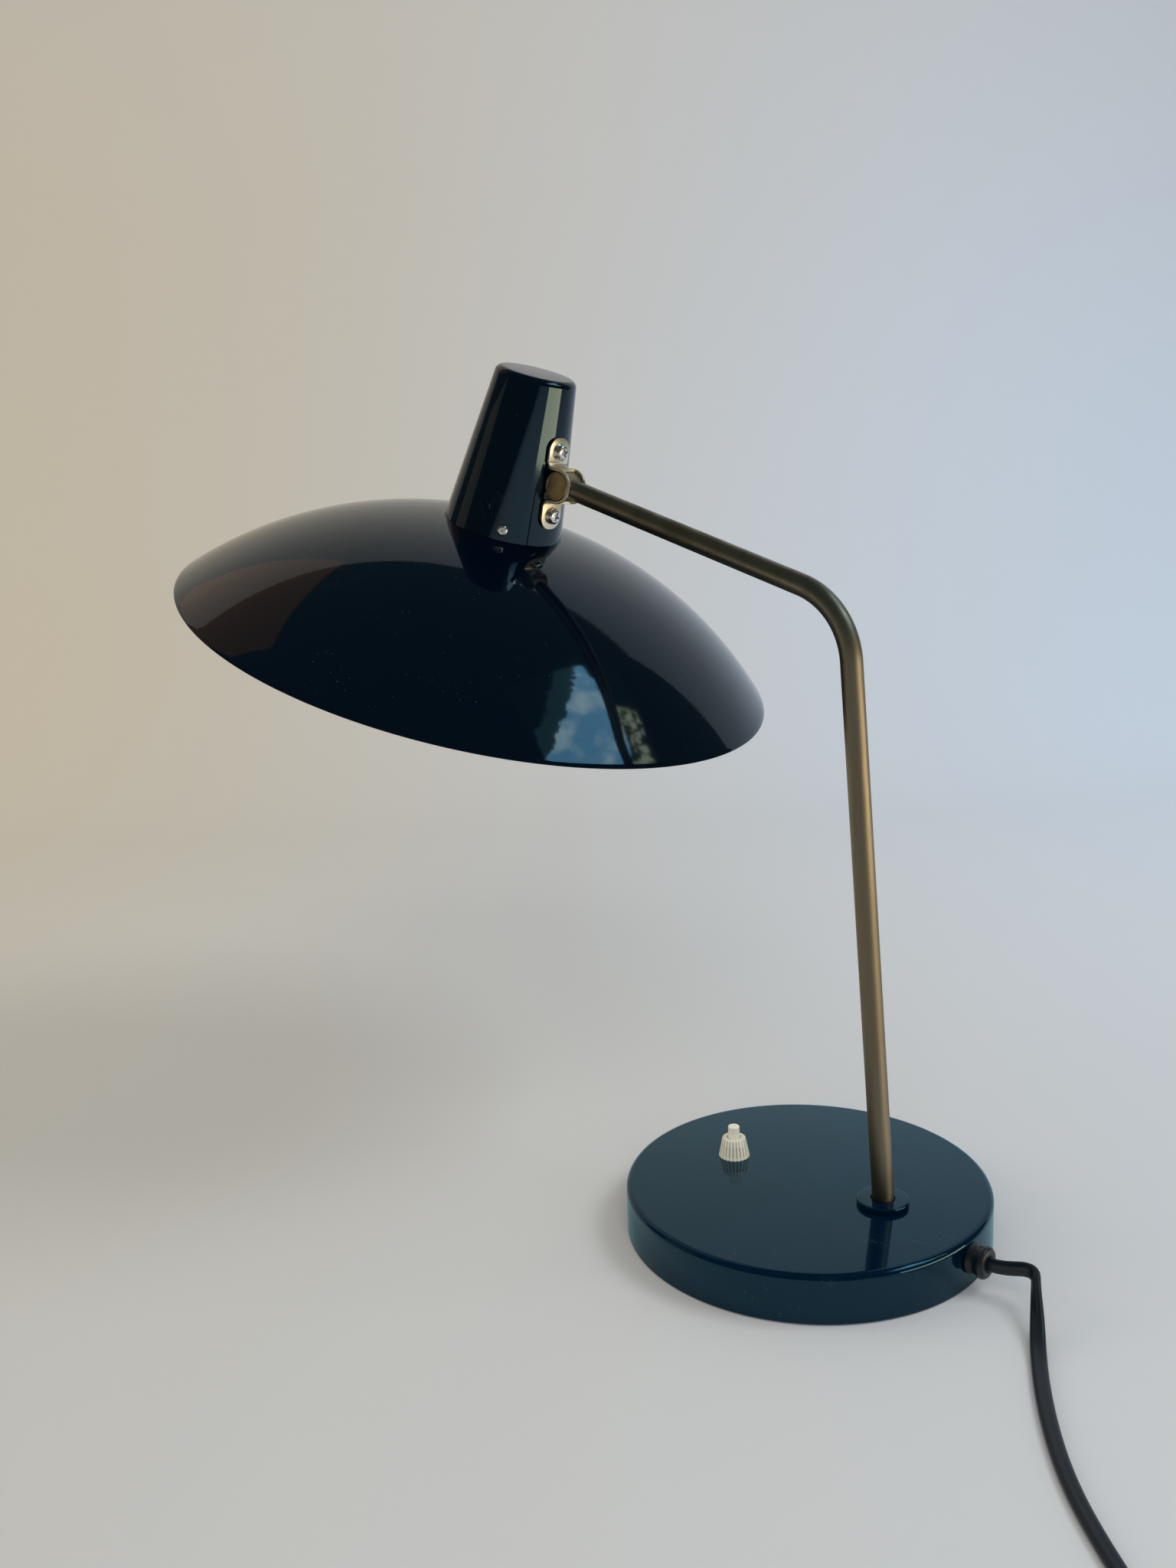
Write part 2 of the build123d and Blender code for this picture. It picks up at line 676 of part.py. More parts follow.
# The lampholder: a domed cover on the nipple, a sleeve below it, and a porcelain disc between them
neck_foot = bracket_height - holder_neck_height
entry_height = holder_shoulder + wire_radius * 2 + holder_wall
inner_holder = holder_radius - holder_wall
cover_low = holder_shoulder - holder_lap
entry_plane = Plane(origin=in_head(0, 0, entry_height - wire_bend / 4), x_dir=(0, 1, 0), z_dir=across)
with BuildPart() as holder_cover:
    with BuildSketch(head_section) as cover_half:
        with BuildLine():
            Polyline((inner_holder, cover_low), (holder_radius, cover_low), (holder_radius, holder_shoulder))
            ThreePointArc((holder_radius, holder_shoulder),
                          (holder_neck_radius + (holder_radius - holder_neck_radius) * sin(pi / 4),
                           holder_shoulder + (neck_foot - holder_shoulder) * sin(pi / 4)),
                          (holder_neck_radius, neck_foot))
            Polyline((holder_neck_radius, neck_foot), (holder_neck_radius, bracket_height),
                     (nipple_radius + slip, bracket_height), (nipple_radius + slip, neck_foot - holder_wall))
            ThreePointArc((nipple_radius + slip, neck_foot - holder_wall),
                          (nipple_radius + (inner_holder - nipple_radius) * sin(pi / 4),
                           holder_shoulder + (neck_foot - holder_wall - holder_shoulder) * sin(pi / 4)),
                          (inner_holder, holder_shoulder))
            Line((inner_holder, holder_shoulder), (inner_holder, cover_low))
        make_face()
    revolve(axis=head_axis)
    with BuildSketch(entry_plane):
        Rectangle(4 * wire_radius + wire_pair_gap + play * 4, 2 * wire_radius + play * 2 + wire_bend / 2)
    extrude(amount=holder_radius + overrun, mode=Mode.SUBTRACT)
finish(holder_cover, "holder_cover")

sleeve_top = holder_shoulder
lap_radius = inner_holder - slip
sleeve_inner = lap_radius - holder_wall
insert_radius = sleeve_inner - slip
insert_low = sleeve_top - insert_thickness
ledge_top = insert_low - slip
ledge_radius = sleeve_inner - ledge_depth / 2
with BuildPart() as holder_sleeve:
    with BuildSketch(head_section):
        Polygon((holder_radius, mouth_height), (holder_radius, cover_low - slip),
                (lap_radius, cover_low - slip), (lap_radius, sleeve_top - slip),
                (sleeve_inner, sleeve_top - slip), (sleeve_inner, ledge_top),
                (ledge_radius, ledge_top), (ledge_radius, ledge_top - ledge_depth),
                (sleeve_inner, ledge_top - ledge_depth), (sleeve_inner, mouth_height), align=None)
    revolve(axis=head_axis)
finish(holder_sleeve, "holder_sleeve")

socket_radius = bulb_base_radius + running
socket_outer = socket_radius + sleeve_wall
with BuildPart() as holder_insert:
    with BuildSketch(head_plane.offset(insert_low)):
        Circle(insert_radius)
    extrude(amount=insert_thickness - slip)
    with BuildSketch(head_plane.offset(insert_low)):
        with Locations((0, terminal_gap), (0, -terminal_gap)):
            Circle(wire_radius + slip)
    extrude(amount=insert_thickness, mode=Mode.SUBTRACT)
finish(holder_insert, "holder_insert")

with BuildPart() as screw_shell:
    with BuildSketch(head_plane.offset(mouth_height + holder_wall)):
        Circle(socket_outer)
    extrude(amount=insert_low - slip - mouth_height - holder_wall)
    with BuildSketch(head_plane.offset(mouth_height + holder_wall)):
        Circle(socket_radius)
    extrude(amount=insert_low - slip - mouth_height - holder_wall - sleeve_wall, mode=Mode.SUBTRACT)
    with BuildSketch(head_plane.offset(mouth_height)):
        Circle(terminal_gap - wire_radius)
    extrude(amount=insert_low - mouth_height, mode=Mode.SUBTRACT)
finish(screw_shell, "screw_shell")

with BuildPart() as centre_contact:
    with BuildSketch(head_plane.offset(insert_low - slip)):
        Rectangle(contact_width * 1.5, contact_width)
    extrude(amount=-contact_thickness)
finish(centre_contact, "centre_contact")

tip_top = insert_low - slip - contact_thickness - slip
base_top = tip_top - bulb_tip_height
base_low = base_top - bulb_base_height
tip_foot_radius = bulb_tip_radius * 2
with BuildPart() as bulb_tip:
    with BuildSketch(head_section):
        Polygon((0, base_top), (tip_foot_radius, base_top), (bulb_tip_radius, tip_top), (0, tip_top),
                align=None)
    revolve(axis=head_axis)
finish(bulb_tip, "bulb_tip")

base_shoulder = base_top - bulb_tip_height
with BuildPart() as bulb_base:
    with BuildSketch(head_section):
        Polygon((bulb_base_radius, base_low), (bulb_base_radius, base_shoulder),
                (tip_foot_radius, base_top - slip), (0, base_top - slip), (0, base_shoulder - bulb_base_wall),
                (bulb_base_radius - bulb_base_wall, base_shoulder - bulb_base_wall),
                (bulb_base_radius - bulb_base_wall, base_low), align=None)
    revolve(axis=head_axis)
finish(bulb_base, "bulb_base")

bulb_low = tip_top - bulb_length
globe_height = bulb_low + bulb_radius
bulb_neck = bulb_base_radius - bulb_base_wall - slip
neck_join = base_low + bulb_tip_height
globe_side = bulb_radius * cos(pi / 6)
globe_side_height = globe_height + bulb_radius * sin(pi / 6)
with BuildPart() as bulb_glass:
    with BuildSketch(head_section):
        with BuildLine():
            ThreePointArc((0, bulb_low), (globe_side, globe_height - bulb_radius * sin(pi / 6)),
                          (globe_side, globe_side_height))
            Spline((globe_side, globe_side_height), (bulb_neck, base_low),
                   tangents=[(-sin(pi / 6), cos(pi / 6)), (0, 1)])
            Polyline((bulb_neck, base_low), (bulb_neck, neck_join), (0, neck_join), (0, bulb_low))
        make_face()
    revolve(axis=head_axis)
    offset(amount=-bulb_wall, openings=bulb_glass.faces().sort_by(head_axis)[-1])
finish(bulb_glass, "bulb_glass")

# The switch: housing with a threaded neck, floor, plunger button, spring, fluted collar and terminals
body_bottom = ceiling - switch_height
floor_top = body_bottom + switch_floor
roof = ceiling - switch_roof
neck_top_level = base_height + neck_over
bore_radius = button_radius + running
cavity_radius = plunger_radius + cavity_gap
with BuildPart() as switch_body:
    with BuildSketch(Plane.XY.offset(floor_top)):
        with Locations((switch_x, 0)):
            Rectangle(switch_length, switch_width)
    extrude(amount=ceiling - floor_top)
    with BuildSketch(Plane.XY.offset(ceiling)):
        with Locations((switch_x, 0)):
            Circle(neck_radius)
    extrude(amount=neck_top_level - ceiling)
    with BuildSketch(Plane.XY.offset(floor_top)):
        with Locations((switch_x, 0)):
            Circle(cavity_radius)
    extrude(amount=roof - floor_top, mode=Mode.SUBTRACT)
    with BuildSketch(Plane.XY.offset(roof)):
        with Locations((switch_x, 0)):
            Circle(bore_radius)
    extrude(amount=neck_top_level - roof, mode=Mode.SUBTRACT)
finish(switch_body, "switch_body")

with BuildPart() as switch_floor_plate:
    with BuildSketch(Plane.XY.offset(body_bottom)):
        with Locations((switch_x, 0)):
            Rectangle(switch_length, switch_width)
    extrude(amount=switch_floor)
finish(switch_floor_plate, "switch_floor")

terminal_x = switch_x + switch_length / 2 + terminal_size / 2
with BuildPart() as switch_terminals:
    with BuildSketch(Plane.XY.offset(body_bottom)):
        with Locations((terminal_x, terminal_gap / 2), (terminal_x, -terminal_gap / 2)):
            Rectangle(terminal_size, terminal_size)
    extrude(amount=terminal_size)
finish(switch_terminals, "switch_terminals")

collar_top_level = base_height + collar_height
button_top = collar_top_level + button_show + button_travel
plunger_top = roof - running
with BuildPart() as switch_button:
    with BuildSketch(Plane.XY.offset(plunger_top - plunger_thickness)):
        with Locations((switch_x, 0)):
            Circle(plunger_radius)
    extrude(amount=plunger_thickness)
    with BuildSketch(Plane.XY.offset(plunger_top)):
        with Locations((switch_x, 0)):
            Circle(button_radius)
    extrude(amount=button_top - plunger_top)
    fillet(switch_button.edges().group_by(Axis.Z)[-1], radius=button_edge)
finish(switch_button, "switch_button")

spring_low = floor_top + slip + spring_wire / 2
spring_high = plunger_top - plunger_thickness - slip - spring_wire / 2
spring_height = spring_high - spring_low
spring_radius = plunger_radius - spring_gap - spring_wire / 2
with BuildPart() as switch_spring:
    with BuildLine(Plane(origin=(switch_x, 0, spring_low), z_dir=(0, 0, 1))) as coils:
        Helix(pitch=spring_height / spring_turns, height=spring_height, radius=spring_radius)
    with BuildSketch(Plane(origin=coils.line @ 0, z_dir=coils.line % 0)):
        Circle(spring_wire / 2)
    sweep(is_frenet=True)
finish(switch_spring, "switch_spring")

collar_lean = atan2(collar_foot_radius - collar_top_radius, collar_height)
with BuildPart() as switch_collar:
    with BuildSketch(Plane(origin=(switch_x, 0, base_height), x_dir=(1, 0, 0), z_dir=(0, -1, 0))):
        Polygon((neck_radius + slip, 0), (collar_foot_radius, 0), (collar_top_radius, collar_height),
                (bore_radius + collar_bore_gap, collar_height),
                (bore_radius + collar_bore_gap, collar_height - collar_lip),
                (neck_radius + slip, collar_height - collar_lip), align=None)
    revolve(axis=Axis((switch_x, 0, 0), (0, 0, 1)))
    fillet(switch_collar.edges().group_by(Axis.Z)[-1].sort_by(SortBy.RADIUS)[-1], radius=collar_edge)
    flute_low = collar_height * flute_low_share
    flute_span = collar_height * (flute_high_share - flute_low_share)
    for number in range(flute_count):
        turn = number * 2 * pi / flute_count
        way = Vector(cos(turn), sin(turn), 0)
        low_radius = collar_foot_radius - flute_low * tan(collar_lean)
        start = Vector(switch_x, 0, base_height + flute_low) + way * low_radius
        line_way = Vector(0, 0, cos(collar_lean)) - way * sin(collar_lean)
        with BuildSketch(Plane(origin=start, z_dir=line_way)):
            Circle(flute_radius)
        extrude(amount=flute_span, mode=Mode.SUBTRACT)
finish(switch_collar, "switch_collar")

# The rubber grommet in the skirt of the base
groove = shell_wall + play * 2
groove_in = -shell_wall - play
groove_out = groove_in + groove
with BuildPart() as cord_grommet:
    with BuildSketch(Plane(origin=exit_plane.origin, x_dir=exit_side, z_dir=(0, 0, 1))) as grommet_half:
        with BuildLine():
            Polyline((lead_bore, -grommet_reach), (lead_bore, -groove_in + grommet_flange),
                     (grommet_inner_radius, -groove_in + grommet_flange), (grommet_inner_radius, -groove_in),
                     (grommet_waist, -groove_in), (grommet_waist, -groove_out), (grommet_root, -groove_out))
            Spline((grommet_root, -groove_out), (grommet_neck, (grommet_lip - grommet_reach - groove_out) / 2),
                   (grommet_radius, -grommet_reach + grommet_lip), tangents=[(0, -1), (0, -1)])
            ThreePointArc((grommet_radius, -grommet_reach + grommet_lip),
                          (grommet_radius - grommet_lip * (1 - cos(pi / 4)),
                           -grommet_reach + grommet_lip * (1 - sin(pi / 4))),
                          (grommet_radius - grommet_lip, -grommet_reach))
            Line((grommet_radius - grommet_lip, -grommet_reach), (lead_bore, -grommet_reach))
        make_face()
    revolve(axis=Axis(exit_plane.origin, exit_way))
finish(cord_grommet, "cord_grommet")

# The lead inside the base: from the grommet past the stem's nut to the terminal block
with BuildPart() as base_lead:
    swept_rod(lead_route, [lead_bend, lead_bend, lead_bend, lead_bend, lead_bend / 2], lead_radius)
finish(base_lead, "base_lead")

block_top = web_bottom
with BuildPart() as terminal_block:
    with BuildSketch(Plane.XY.offset(block_top)):
        with Locations((block_x, 0)):
            Rectangle(block_length, block_width)
    extrude(amount=-block_height)
    chamfer(terminal_block.edges().group_by(Axis.Z)[0], length=button_edge)
finish(terminal_block, "terminal_block")

with BuildPart() as cord_clip:
    with BuildSketch(Plane(origin=clip_middle, x_dir=(0, -1, 0), z_dir=(-1, 0, 0))):
        Circle(clip_outer)
        with Locations((0, clip_outer)):
            Rectangle(clip_outer + clip_tab, clip_thickness, align=(Align.MIN, Align.MAX))
        Circle(lead_bore, mode=Mode.SUBTRACT)
    extrude(amount=clip_width / 2, both=True)
    with BuildSketch(Plane(clip_hole)):
        Circle(m3_radius + play)
    extrude(amount=-clip_outer, mode=Mode.SUBTRACT)
finish(cord_clip, "cord_clip")

with BuildPart() as clip_screw:
    pan_screw(Plane(origin=clip_hole - Vector(0, 0, clip_thickness), x_dir=(1, 0, 0), z_dir=(0, 0, -1)),
              m3_radius, m3_head_radius, m3_head, clip_thickness + clip_screw_depth)
finish(clip_screw, "clip_screw")

# The single wires: switch to block, block up the stem to the barrel, and cap window to lampholder
wire_side = wire_radius + wire_pair_gap / 2
wire_level = block_top - block_height / 2
with BuildPart() as switch_wires:
    for side in (terminal_gap / 2, -terminal_gap / 2):
        swept_rod([Vector(terminal_x + terminal_size / 2, side, body_bottom + terminal_size / 2),
                   Vector(terminal_x + terminal_size * 2, side, body_bottom + terminal_size / 2),
                   Vector(block_x - block_length / 2 - terminal_size * 2, side, wire_level),
                   Vector(block_x - block_length / 2, side, wire_level)], wire_bend, wire_radius)
finish(switch_wires, "switch_wires")

with BuildPart() as arm_wires:
    for side in (wire_side, -wire_side):
        shift = Vector(0, side, 0)
        block_shift = Vector(0, block_width / 2 - wire_side * 2, 0)
        swept_rod([Vector(block_face, 0, wire_level) + shift + block_shift,
                   Vector(block_face + wire_bend, 0, wire_level) + shift + block_shift,
                   Vector(stem_x - nut_across, 0, wire_drop) + shift,
                   Vector(stem_x, 0, wire_drop) + shift,
                   lean_start + shift, corner + shift, pivot - arm_way * wire_end + shift],
                  [wire_bend, wire_bend, wire_bend, foot_bend, elbow_radius], wire_radius)
finish(arm_wires, "arm_wires")

rise_radius = holder_radius + wire_radius + play
with BuildPart() as holder_wires:
    for side in (wire_side, -wire_side):
        swept_rod([in_head(pivot_radius - wire_end, side, pivot_height),
                   in_head(rise_radius, side, pivot_height), in_head(rise_radius, side, entry_height),
                   in_head(insert_radius / 2, side, entry_height)], wire_bend, wire_radius)
finish(holder_wires, "holder_wires")

# The free cord: out of the grommet, folded down to the table and along it to the coil
floor_level = lead_radius + slip
cord_route = [
    lead_start,
    lead_start + exit_way * exit_run,
    Vector(113.5, -1.7, 16.5),
    Vector(117.5, -11.2, 12.8),
    Vector(123.5, -24.0, 7.0),
    Vector(129.3, -37.0, floor_level),
    Vector(140.0, -59.0, floor_level),
    Vector(153.5, -82.5, floor_level),
    Vector(167.6, -102.7, floor_level),
    Vector(182.5, -119.5, floor_level),
    Vector(200.5, -137.0, floor_level),
    Vector(217.5, -157.5, floor_level),
    Vector(232.0, -178.5, floor_level),
]
bends = []
for before, here, after in zip(cord_route, cord_route[1:], cord_route[2:]):
    half_turn = radians((here - before).get_angle(after - here)) / 2
    bends.append(bend_share * min((here - before).length, (after - here).length) / tan(half_turn))
with BuildPart() as cord_tube:
    tube_path = swept_rod(cord_route, bends, lead_radius)
finish(cord_tube, "cord_tube")
print("cord bend radii", [round(bend, 1) for bend in bends])
print("cord tube length", round(tube_path.length, 1), "volume over section times length",
      round(cord_tube.part.volume / (pi * lead_radius ** 2 * tube_path.length), 4))

# The coil: it spirals in on the table, climbs a layer in half a turn and spirals out on top
coil_way = (cord_route[-1] - cord_route[-2]).normalized()
coil_quarters = round(coil_turns * 4)
climb_quarters = 2
coil_outer_radius = coil_inner_radius + turn_step * coil_quarters / 4
drift = turn_step / (2 * pi)
start_angle = atan2(coil_way.Y, coil_way.X) + pi / 2 + atan2(drift, coil_outer_radius)
coil_start = cord_route[-1] + coil_way * cord_width
coil_centre = coil_start - Vector(cos(start_angle), sin(start_angle), 0) * coil_outer_radius


def coil_place(quarter):
    """Point and direction of the coil after a number of quarter turns."""
    angle = start_angle - quarter * pi / 2
    climb = min(max((quarter - coil_quarters) / climb_quarters, 0), 1)
    inward = min(quarter, coil_quarters)
    outward_part = max(quarter - coil_quarters - climb_quarters, 0)
    dip = climb * (1 - climb) * drift * pi * climb_quarters / 4
    radius = coil_outer_radius - (inward - outward_part) * turn_step / 4 - dip
    radial = drift * (2 * climb - 1)
    height = layer_step * (1 - cos(pi * climb)) / 2
    steep = layer_step * sin(pi * climb) / climb_quarters
    place = coil_centre + Vector(cos(angle), sin(angle), 0) * radius + Vector(0, 0, height)
    way = Vector(sin(angle), -cos(angle), 0) * radius + Vector(cos(angle), sin(angle), 0) * radial
    return place, (way + Vector(0, 0, steep)).normalized()


def biarc(start, start_way, end, end_way):
    """Join two points and their directions with two tangent arcs."""
    span = end - start
    both = start_way + end_way
    room = 2 * (1 - start_way.dot(end_way))
    reach = (sqrt(span.dot(both) ** 2 + room * span.dot(span)) - span.dot(both)) / room
    near, far_end = start + start_way * reach, end - end_way * reach
    TangentArc(start, (near + far_end) / 2, tangent=start_way)
    TangentArc((near + far_end) / 2, end, tangent=far_end - near)


quarters = 2 * coil_quarters + climb_quarters
coil_end, coil_end_way = coil_place(quarters)
tail_angle = radians(tail_turn)
tail_side = Vector(-coil_end_way.Y, coil_end_way.X, 0)
tail_way = coil_end_way * cos(tail_angle) + tail_side * sin(tail_angle)
tail_end = coil_end + (coil_end_way * sin(tail_angle) + tail_side * (1 - cos(tail_angle))) * tail_radius
cord_end = tail_end + tail_way * cord_width
with BuildLine() as coil_line:
    Line(cord_route[-1], coil_start)
    for quarter in range(quarters):
        biarc(*coil_place(quarter), *coil_place(quarter + 1))
    TangentArc(coil_end, tail_end, tangent=coil_end_way)
    Line(tail_end, cord_end)
coil_path = coil_line.wires()[0]
with BuildPart() as cord_coil:
    with BuildSketch(Plane(origin=cord_route[-1], z_dir=coil_way)) as coil_section:
        Circle(lead_radius)
    sweep(sections=coil_section.sketch, path=coil_path)
finish(cord_coil, "cord_coil")

samples = [coil_path @ (number / gap_samples) for number in range(gap_samples + 1)]
skip = round(gap_samples * coil_inner_radius * pi / coil_path.length)
closest = min((samples[low] - samples[high]).length for low in range(len(samples))
              for high in range(low + skip, len(samples)))
print("coil length", round(coil_path.length, 1), "least gap to itself", round(closest - cord_width, 2))

# The plug lies behind the coil, with its two pins
plug_depth = 2 * (cord_end.Z - slip)
plug_plane = Plane(origin=cord_end, x_dir=tail_way, z_dir=(0, 0, 1))
pin_plane = Plane(origin=cord_end + tail_way * plug_length, x_dir=(0, 0, 1), z_dir=tail_way)
with BuildPart() as plug_body:
    with BuildSketch(plug_plane):
        Polygon((0, -plug_nose_width / 2), (plug_length - plug_head, -plug_width / 2),
                (plug_length, -plug_width / 2), (plug_length, plug_width / 2),
                (plug_length - plug_head, plug_width / 2), (0, plug_nose_width / 2), align=None)
    extrude(amount=plug_depth / 2, both=True)
    fillet(plug_body.faces().sort_by(Axis.Z)[-1].edges() + plug_body.faces().sort_by(Axis.Z)[0].edges(),
           radius=plug_edge)
    with BuildSketch(pin_plane):
        with Locations((0, pin_spacing / 2), (0, -pin_spacing / 2)):
            Circle(pin_tang_radius + slip)
    extrude(amount=-pin_root, mode=Mode.SUBTRACT)
finish(plug_body, "plug_body")

with BuildPart() as plug_pins:
    with BuildSketch(pin_plane.offset(-pin_root)):
        with Locations((0, pin_spacing / 2), (0, -pin_spacing / 2)):
            Circle(pin_tang_radius)
    extrude(amount=pin_root + pin_length - pin_edge)
    with BuildSketch(pin_plane.offset(pin_step)):
        with Locations((0, pin_spacing / 2), (0, -pin_spacing / 2)):
            Circle(pin_radius)
    extrude(amount=pin_length - pin_step)
    fillet(plug_pins.edges().group_by(Axis(cord_end, tail_way))[-1], radius=pin_edge)
finish(plug_pins, "plug_pins")

print("pivot", pivot, "shade frame", head_origin)
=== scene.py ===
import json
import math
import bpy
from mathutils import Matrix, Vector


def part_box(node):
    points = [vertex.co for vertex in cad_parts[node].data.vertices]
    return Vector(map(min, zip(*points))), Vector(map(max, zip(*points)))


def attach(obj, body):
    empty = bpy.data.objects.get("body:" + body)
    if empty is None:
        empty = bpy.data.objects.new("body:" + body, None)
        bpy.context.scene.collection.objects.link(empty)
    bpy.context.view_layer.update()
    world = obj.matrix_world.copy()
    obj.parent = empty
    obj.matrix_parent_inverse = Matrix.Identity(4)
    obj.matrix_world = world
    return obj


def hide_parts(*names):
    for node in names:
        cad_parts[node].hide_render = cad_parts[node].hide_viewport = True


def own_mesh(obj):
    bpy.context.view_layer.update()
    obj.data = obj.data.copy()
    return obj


bl_info = {
    "name": "Desk lamp with tilting shade",
    "version": (1, 0, 0),
    "blender": (4, 5, 0),
    "location": "View3D > Sidebar > Lamp",
    "description": "Builds the visible pieces and finishes of a desk lamp around its packed frame",
    "category": "Object",
}

import bpy
from mathutils import Matrix, Vector

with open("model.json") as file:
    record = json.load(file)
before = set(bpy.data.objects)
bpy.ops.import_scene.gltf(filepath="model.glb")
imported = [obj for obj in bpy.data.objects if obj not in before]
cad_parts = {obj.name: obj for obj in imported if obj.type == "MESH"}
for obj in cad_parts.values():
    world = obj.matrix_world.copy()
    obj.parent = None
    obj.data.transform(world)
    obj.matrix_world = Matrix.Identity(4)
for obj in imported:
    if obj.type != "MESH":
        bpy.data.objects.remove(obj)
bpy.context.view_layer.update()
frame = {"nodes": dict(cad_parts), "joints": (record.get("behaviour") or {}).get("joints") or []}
JOINTS = {joint["name"]: joint for joint in frame["joints"]}
PIVOT = Vector(JOINTS["head_tilt"]["pos_m"])
TAU = 2 * math.pi
CAP_SCREW_TURNS = (-48, 72, 192)
FLUTES = 24
SPRING_WIRE = 0.0005
SPRING_TURNS = 6


def metres(name, description, default):
    """A length that a user can change."""
    return bpy.props.FloatProperty(name=name, description=description, default=default, precision=4, unit="LENGTH")


def degrees(name, description, default):
    """An angle that a user can change."""
    return bpy.props.FloatProperty(name=name, description=description, default=math.radians(default),
                                   unit="ROTATION")


def colour(name, description, default):
    """A colour that a user can change."""
    return bpy.props.FloatVectorProperty(name=name, description=description, default=default, size=3, min=0, max=1,
                                         subtype="COLOR")


class LampBaseSizes(bpy.types.PropertyGroup):
    """Sizes of the base, its flange, switch and grommet."""

    radius: metres("Base radius", "Outer radius of the base", 0.086)
    height: metres("Base height", "Height of the base's top above the table", 0.0228)
    edge: metres("Base edge", "Radius of the base's rounded upper edge", 0.0029)
    wall: metres("Base wall", "Thickness of the base's shell", 0.0012)
    skirt_gap: metres("Skirt gap", "Gap between the shell and the table", 0.0008)
    stem_x: metres("Stem place", "Distance of the stem from the middle of the base", 0.0406)
    flange_radius: metres("Flange radius", "Radius of the flange round the stem", 0.0119)
    flange_height: metres("Flange height", "Height of the flange round the stem", 0.0029)
    flange_edge: metres("Flange edge", "Radius of the flange's rounded edge", 0.0009)
    switch_x: metres("Switch place", "Distance of the switch from the middle of the base", -0.0415)
    collar_foot: metres("Collar foot", "Radius of the switch collar at its foot", 0.0076)
    collar_top: metres("Collar top", "Radius of the switch collar at its top", 0.0057)
    collar_height: metres("Collar height", "Height of the switch collar", 0.0096)
    button_radius: metres("Button radius", "Radius of the push button", 0.0028)
    grommet_radius: metres("Grommet radius", "Radius of the rubber grommet's lip", 0.0072)
    grommet_root: metres("Grommet root", "Radius of the grommet against the wall", 0.0068)
    grommet_neck: metres("Grommet neck", "Radius of the grommet between root and lip", 0.0061)
    grommet_waist: metres("Grommet waist", "Radius of the grommet in the wall", 0.0052)
    grommet_inner: metres("Grommet inner radius", "Radius of the grommet inside the wall", 0.0066)
    grommet_reach: metres("Grommet reach", "Length of the grommet outside the wall", 0.0088)
    exit_height: metres("Cord height", "Height at which the cord leaves the base", 0.0138)
    exit_turn: degrees("Cord azimuth", "Direction in which the cord leaves the base", -3.3)


class LampArmSizes(bpy.types.PropertyGroup):
    """Sizes of the bent tube and of its pivot."""

    tube_radius: metres("Tube radius", "Outer radius of the tube", 0.005)
    foot_bend: metres("Foot bend", "Bend radius where the tube starts to lean", 0.110)
    elbow: metres("Elbow radius", "Bend radius of the tube's elbow", 0.038)
    lean_start: metres("Lean height", "Height at which the tube starts to lean", 0.0288)
    corner_height: metres("Corner height", "Height of the corner of the tube's two straight runs", 0.2953)
    lean: degrees("Lean", "Lean of the column from the vertical", 3.8)
    rise: degrees("Rise", "Rise of the arm from the level", 19.7)
    barrel_radius: metres("Barrel radius", "Radius of the crosswise barrel", 0.0073)
    barrel_length: metres("Barrel length", "Length of the crosswise barrel", 0.013)
    strap_width: metres("Strap width", "Width of the strap", 0.0139)
    loop_width: metres("Loop width", "Width of the strap's loop round the barrel", 0.0126)
    strap_thickness: metres("Strap thickness", "Thickness of the strap", 0.0013)
    strap_half: metres("Strap half length", "Half the length of the strap along the cap", 0.0227)
    strap_corner: metres("Strap corner", "Radius of the strap's rounded corners", 0.0062)
    screw_offset: metres("Screw offset", "Distance of the strap's screws from the barrel", 0.0158)


class LampHeadSizes(bpy.types.PropertyGroup):
    """Sizes of the shade, the cap and the bulb."""

    tilt: degrees("Shade tilt", "Lean of the shade's axis from the vertical at rest", 20.8)
    rim_radius: metres("Rim radius", "Radius of the shade at its rim", 0.159)
    crown_height: metres("Crown height", "Height of the cap's foot above the rim", 0.061)
    dome_radius: metres("Dome radius", "Radius of the dome's arc", 0.219)
    wall: metres("Shade wall", "Thickness of the shade and the cap", 0.0008)
    cap_foot: metres("Cap foot", "Radius of the cap at its foot", 0.031)
    cap_top: metres("Cap top", "Radius of the cap at its top", 0.0204)
    cap_height: metres("Cap height", "Height of the cap's top above the rim", 0.1407)
    cap_edge: metres("Cap edge", "Radius of the cap's rounded upper edge", 0.0035)
    pivot_height: metres("Pivot height", "Height of the pivot above the rim, along the shade's axis", 0.0934)
    neck_height: metres("Neck height", "Height of the neck inside the cap", 0.0082)
    bulb_radius: metres("Bulb radius", "Radius of the bulb's globe", 0.0275)


class LampColours(bpy.types.PropertyGroup):
    """Colours of the lamp's finishes."""

    enamel: colour("Enamel", "Gloss black enamel of the shade, with a navy tint", (0.0005, 0.0024, 0.0066))
    base_enamel: colour("Base enamel", "Gloss black enamel of the base, with a teal tint", (0.0004, 0.0070, 0.019))
    lining: colour("Lining", "White enamel inside the shade", (0.78, 0.77, 0.73))
    tube: colour("Tube", "Aged nickel over brass", (0.31, 0.28, 0.215))
    barrel: colour("Barrel", "Dark aged brass", (0.44, 0.35, 0.20))
    strap: colour("Strap", "Pale nickel over brass", (0.86, 0.77, 0.60))
    screw: colour("Screw", "Bright zinc", (0.76, 0.77, 0.74))
    ivory: colour("Ivory", "Ivory plastic", (0.84, 0.80, 0.64))
    rubber: colour("Rubber", "Black rubber", (0.005, 0.009, 0.011))
    cord: colour("Cord", "Dark navy cord", (0.001, 0.006, 0.012))


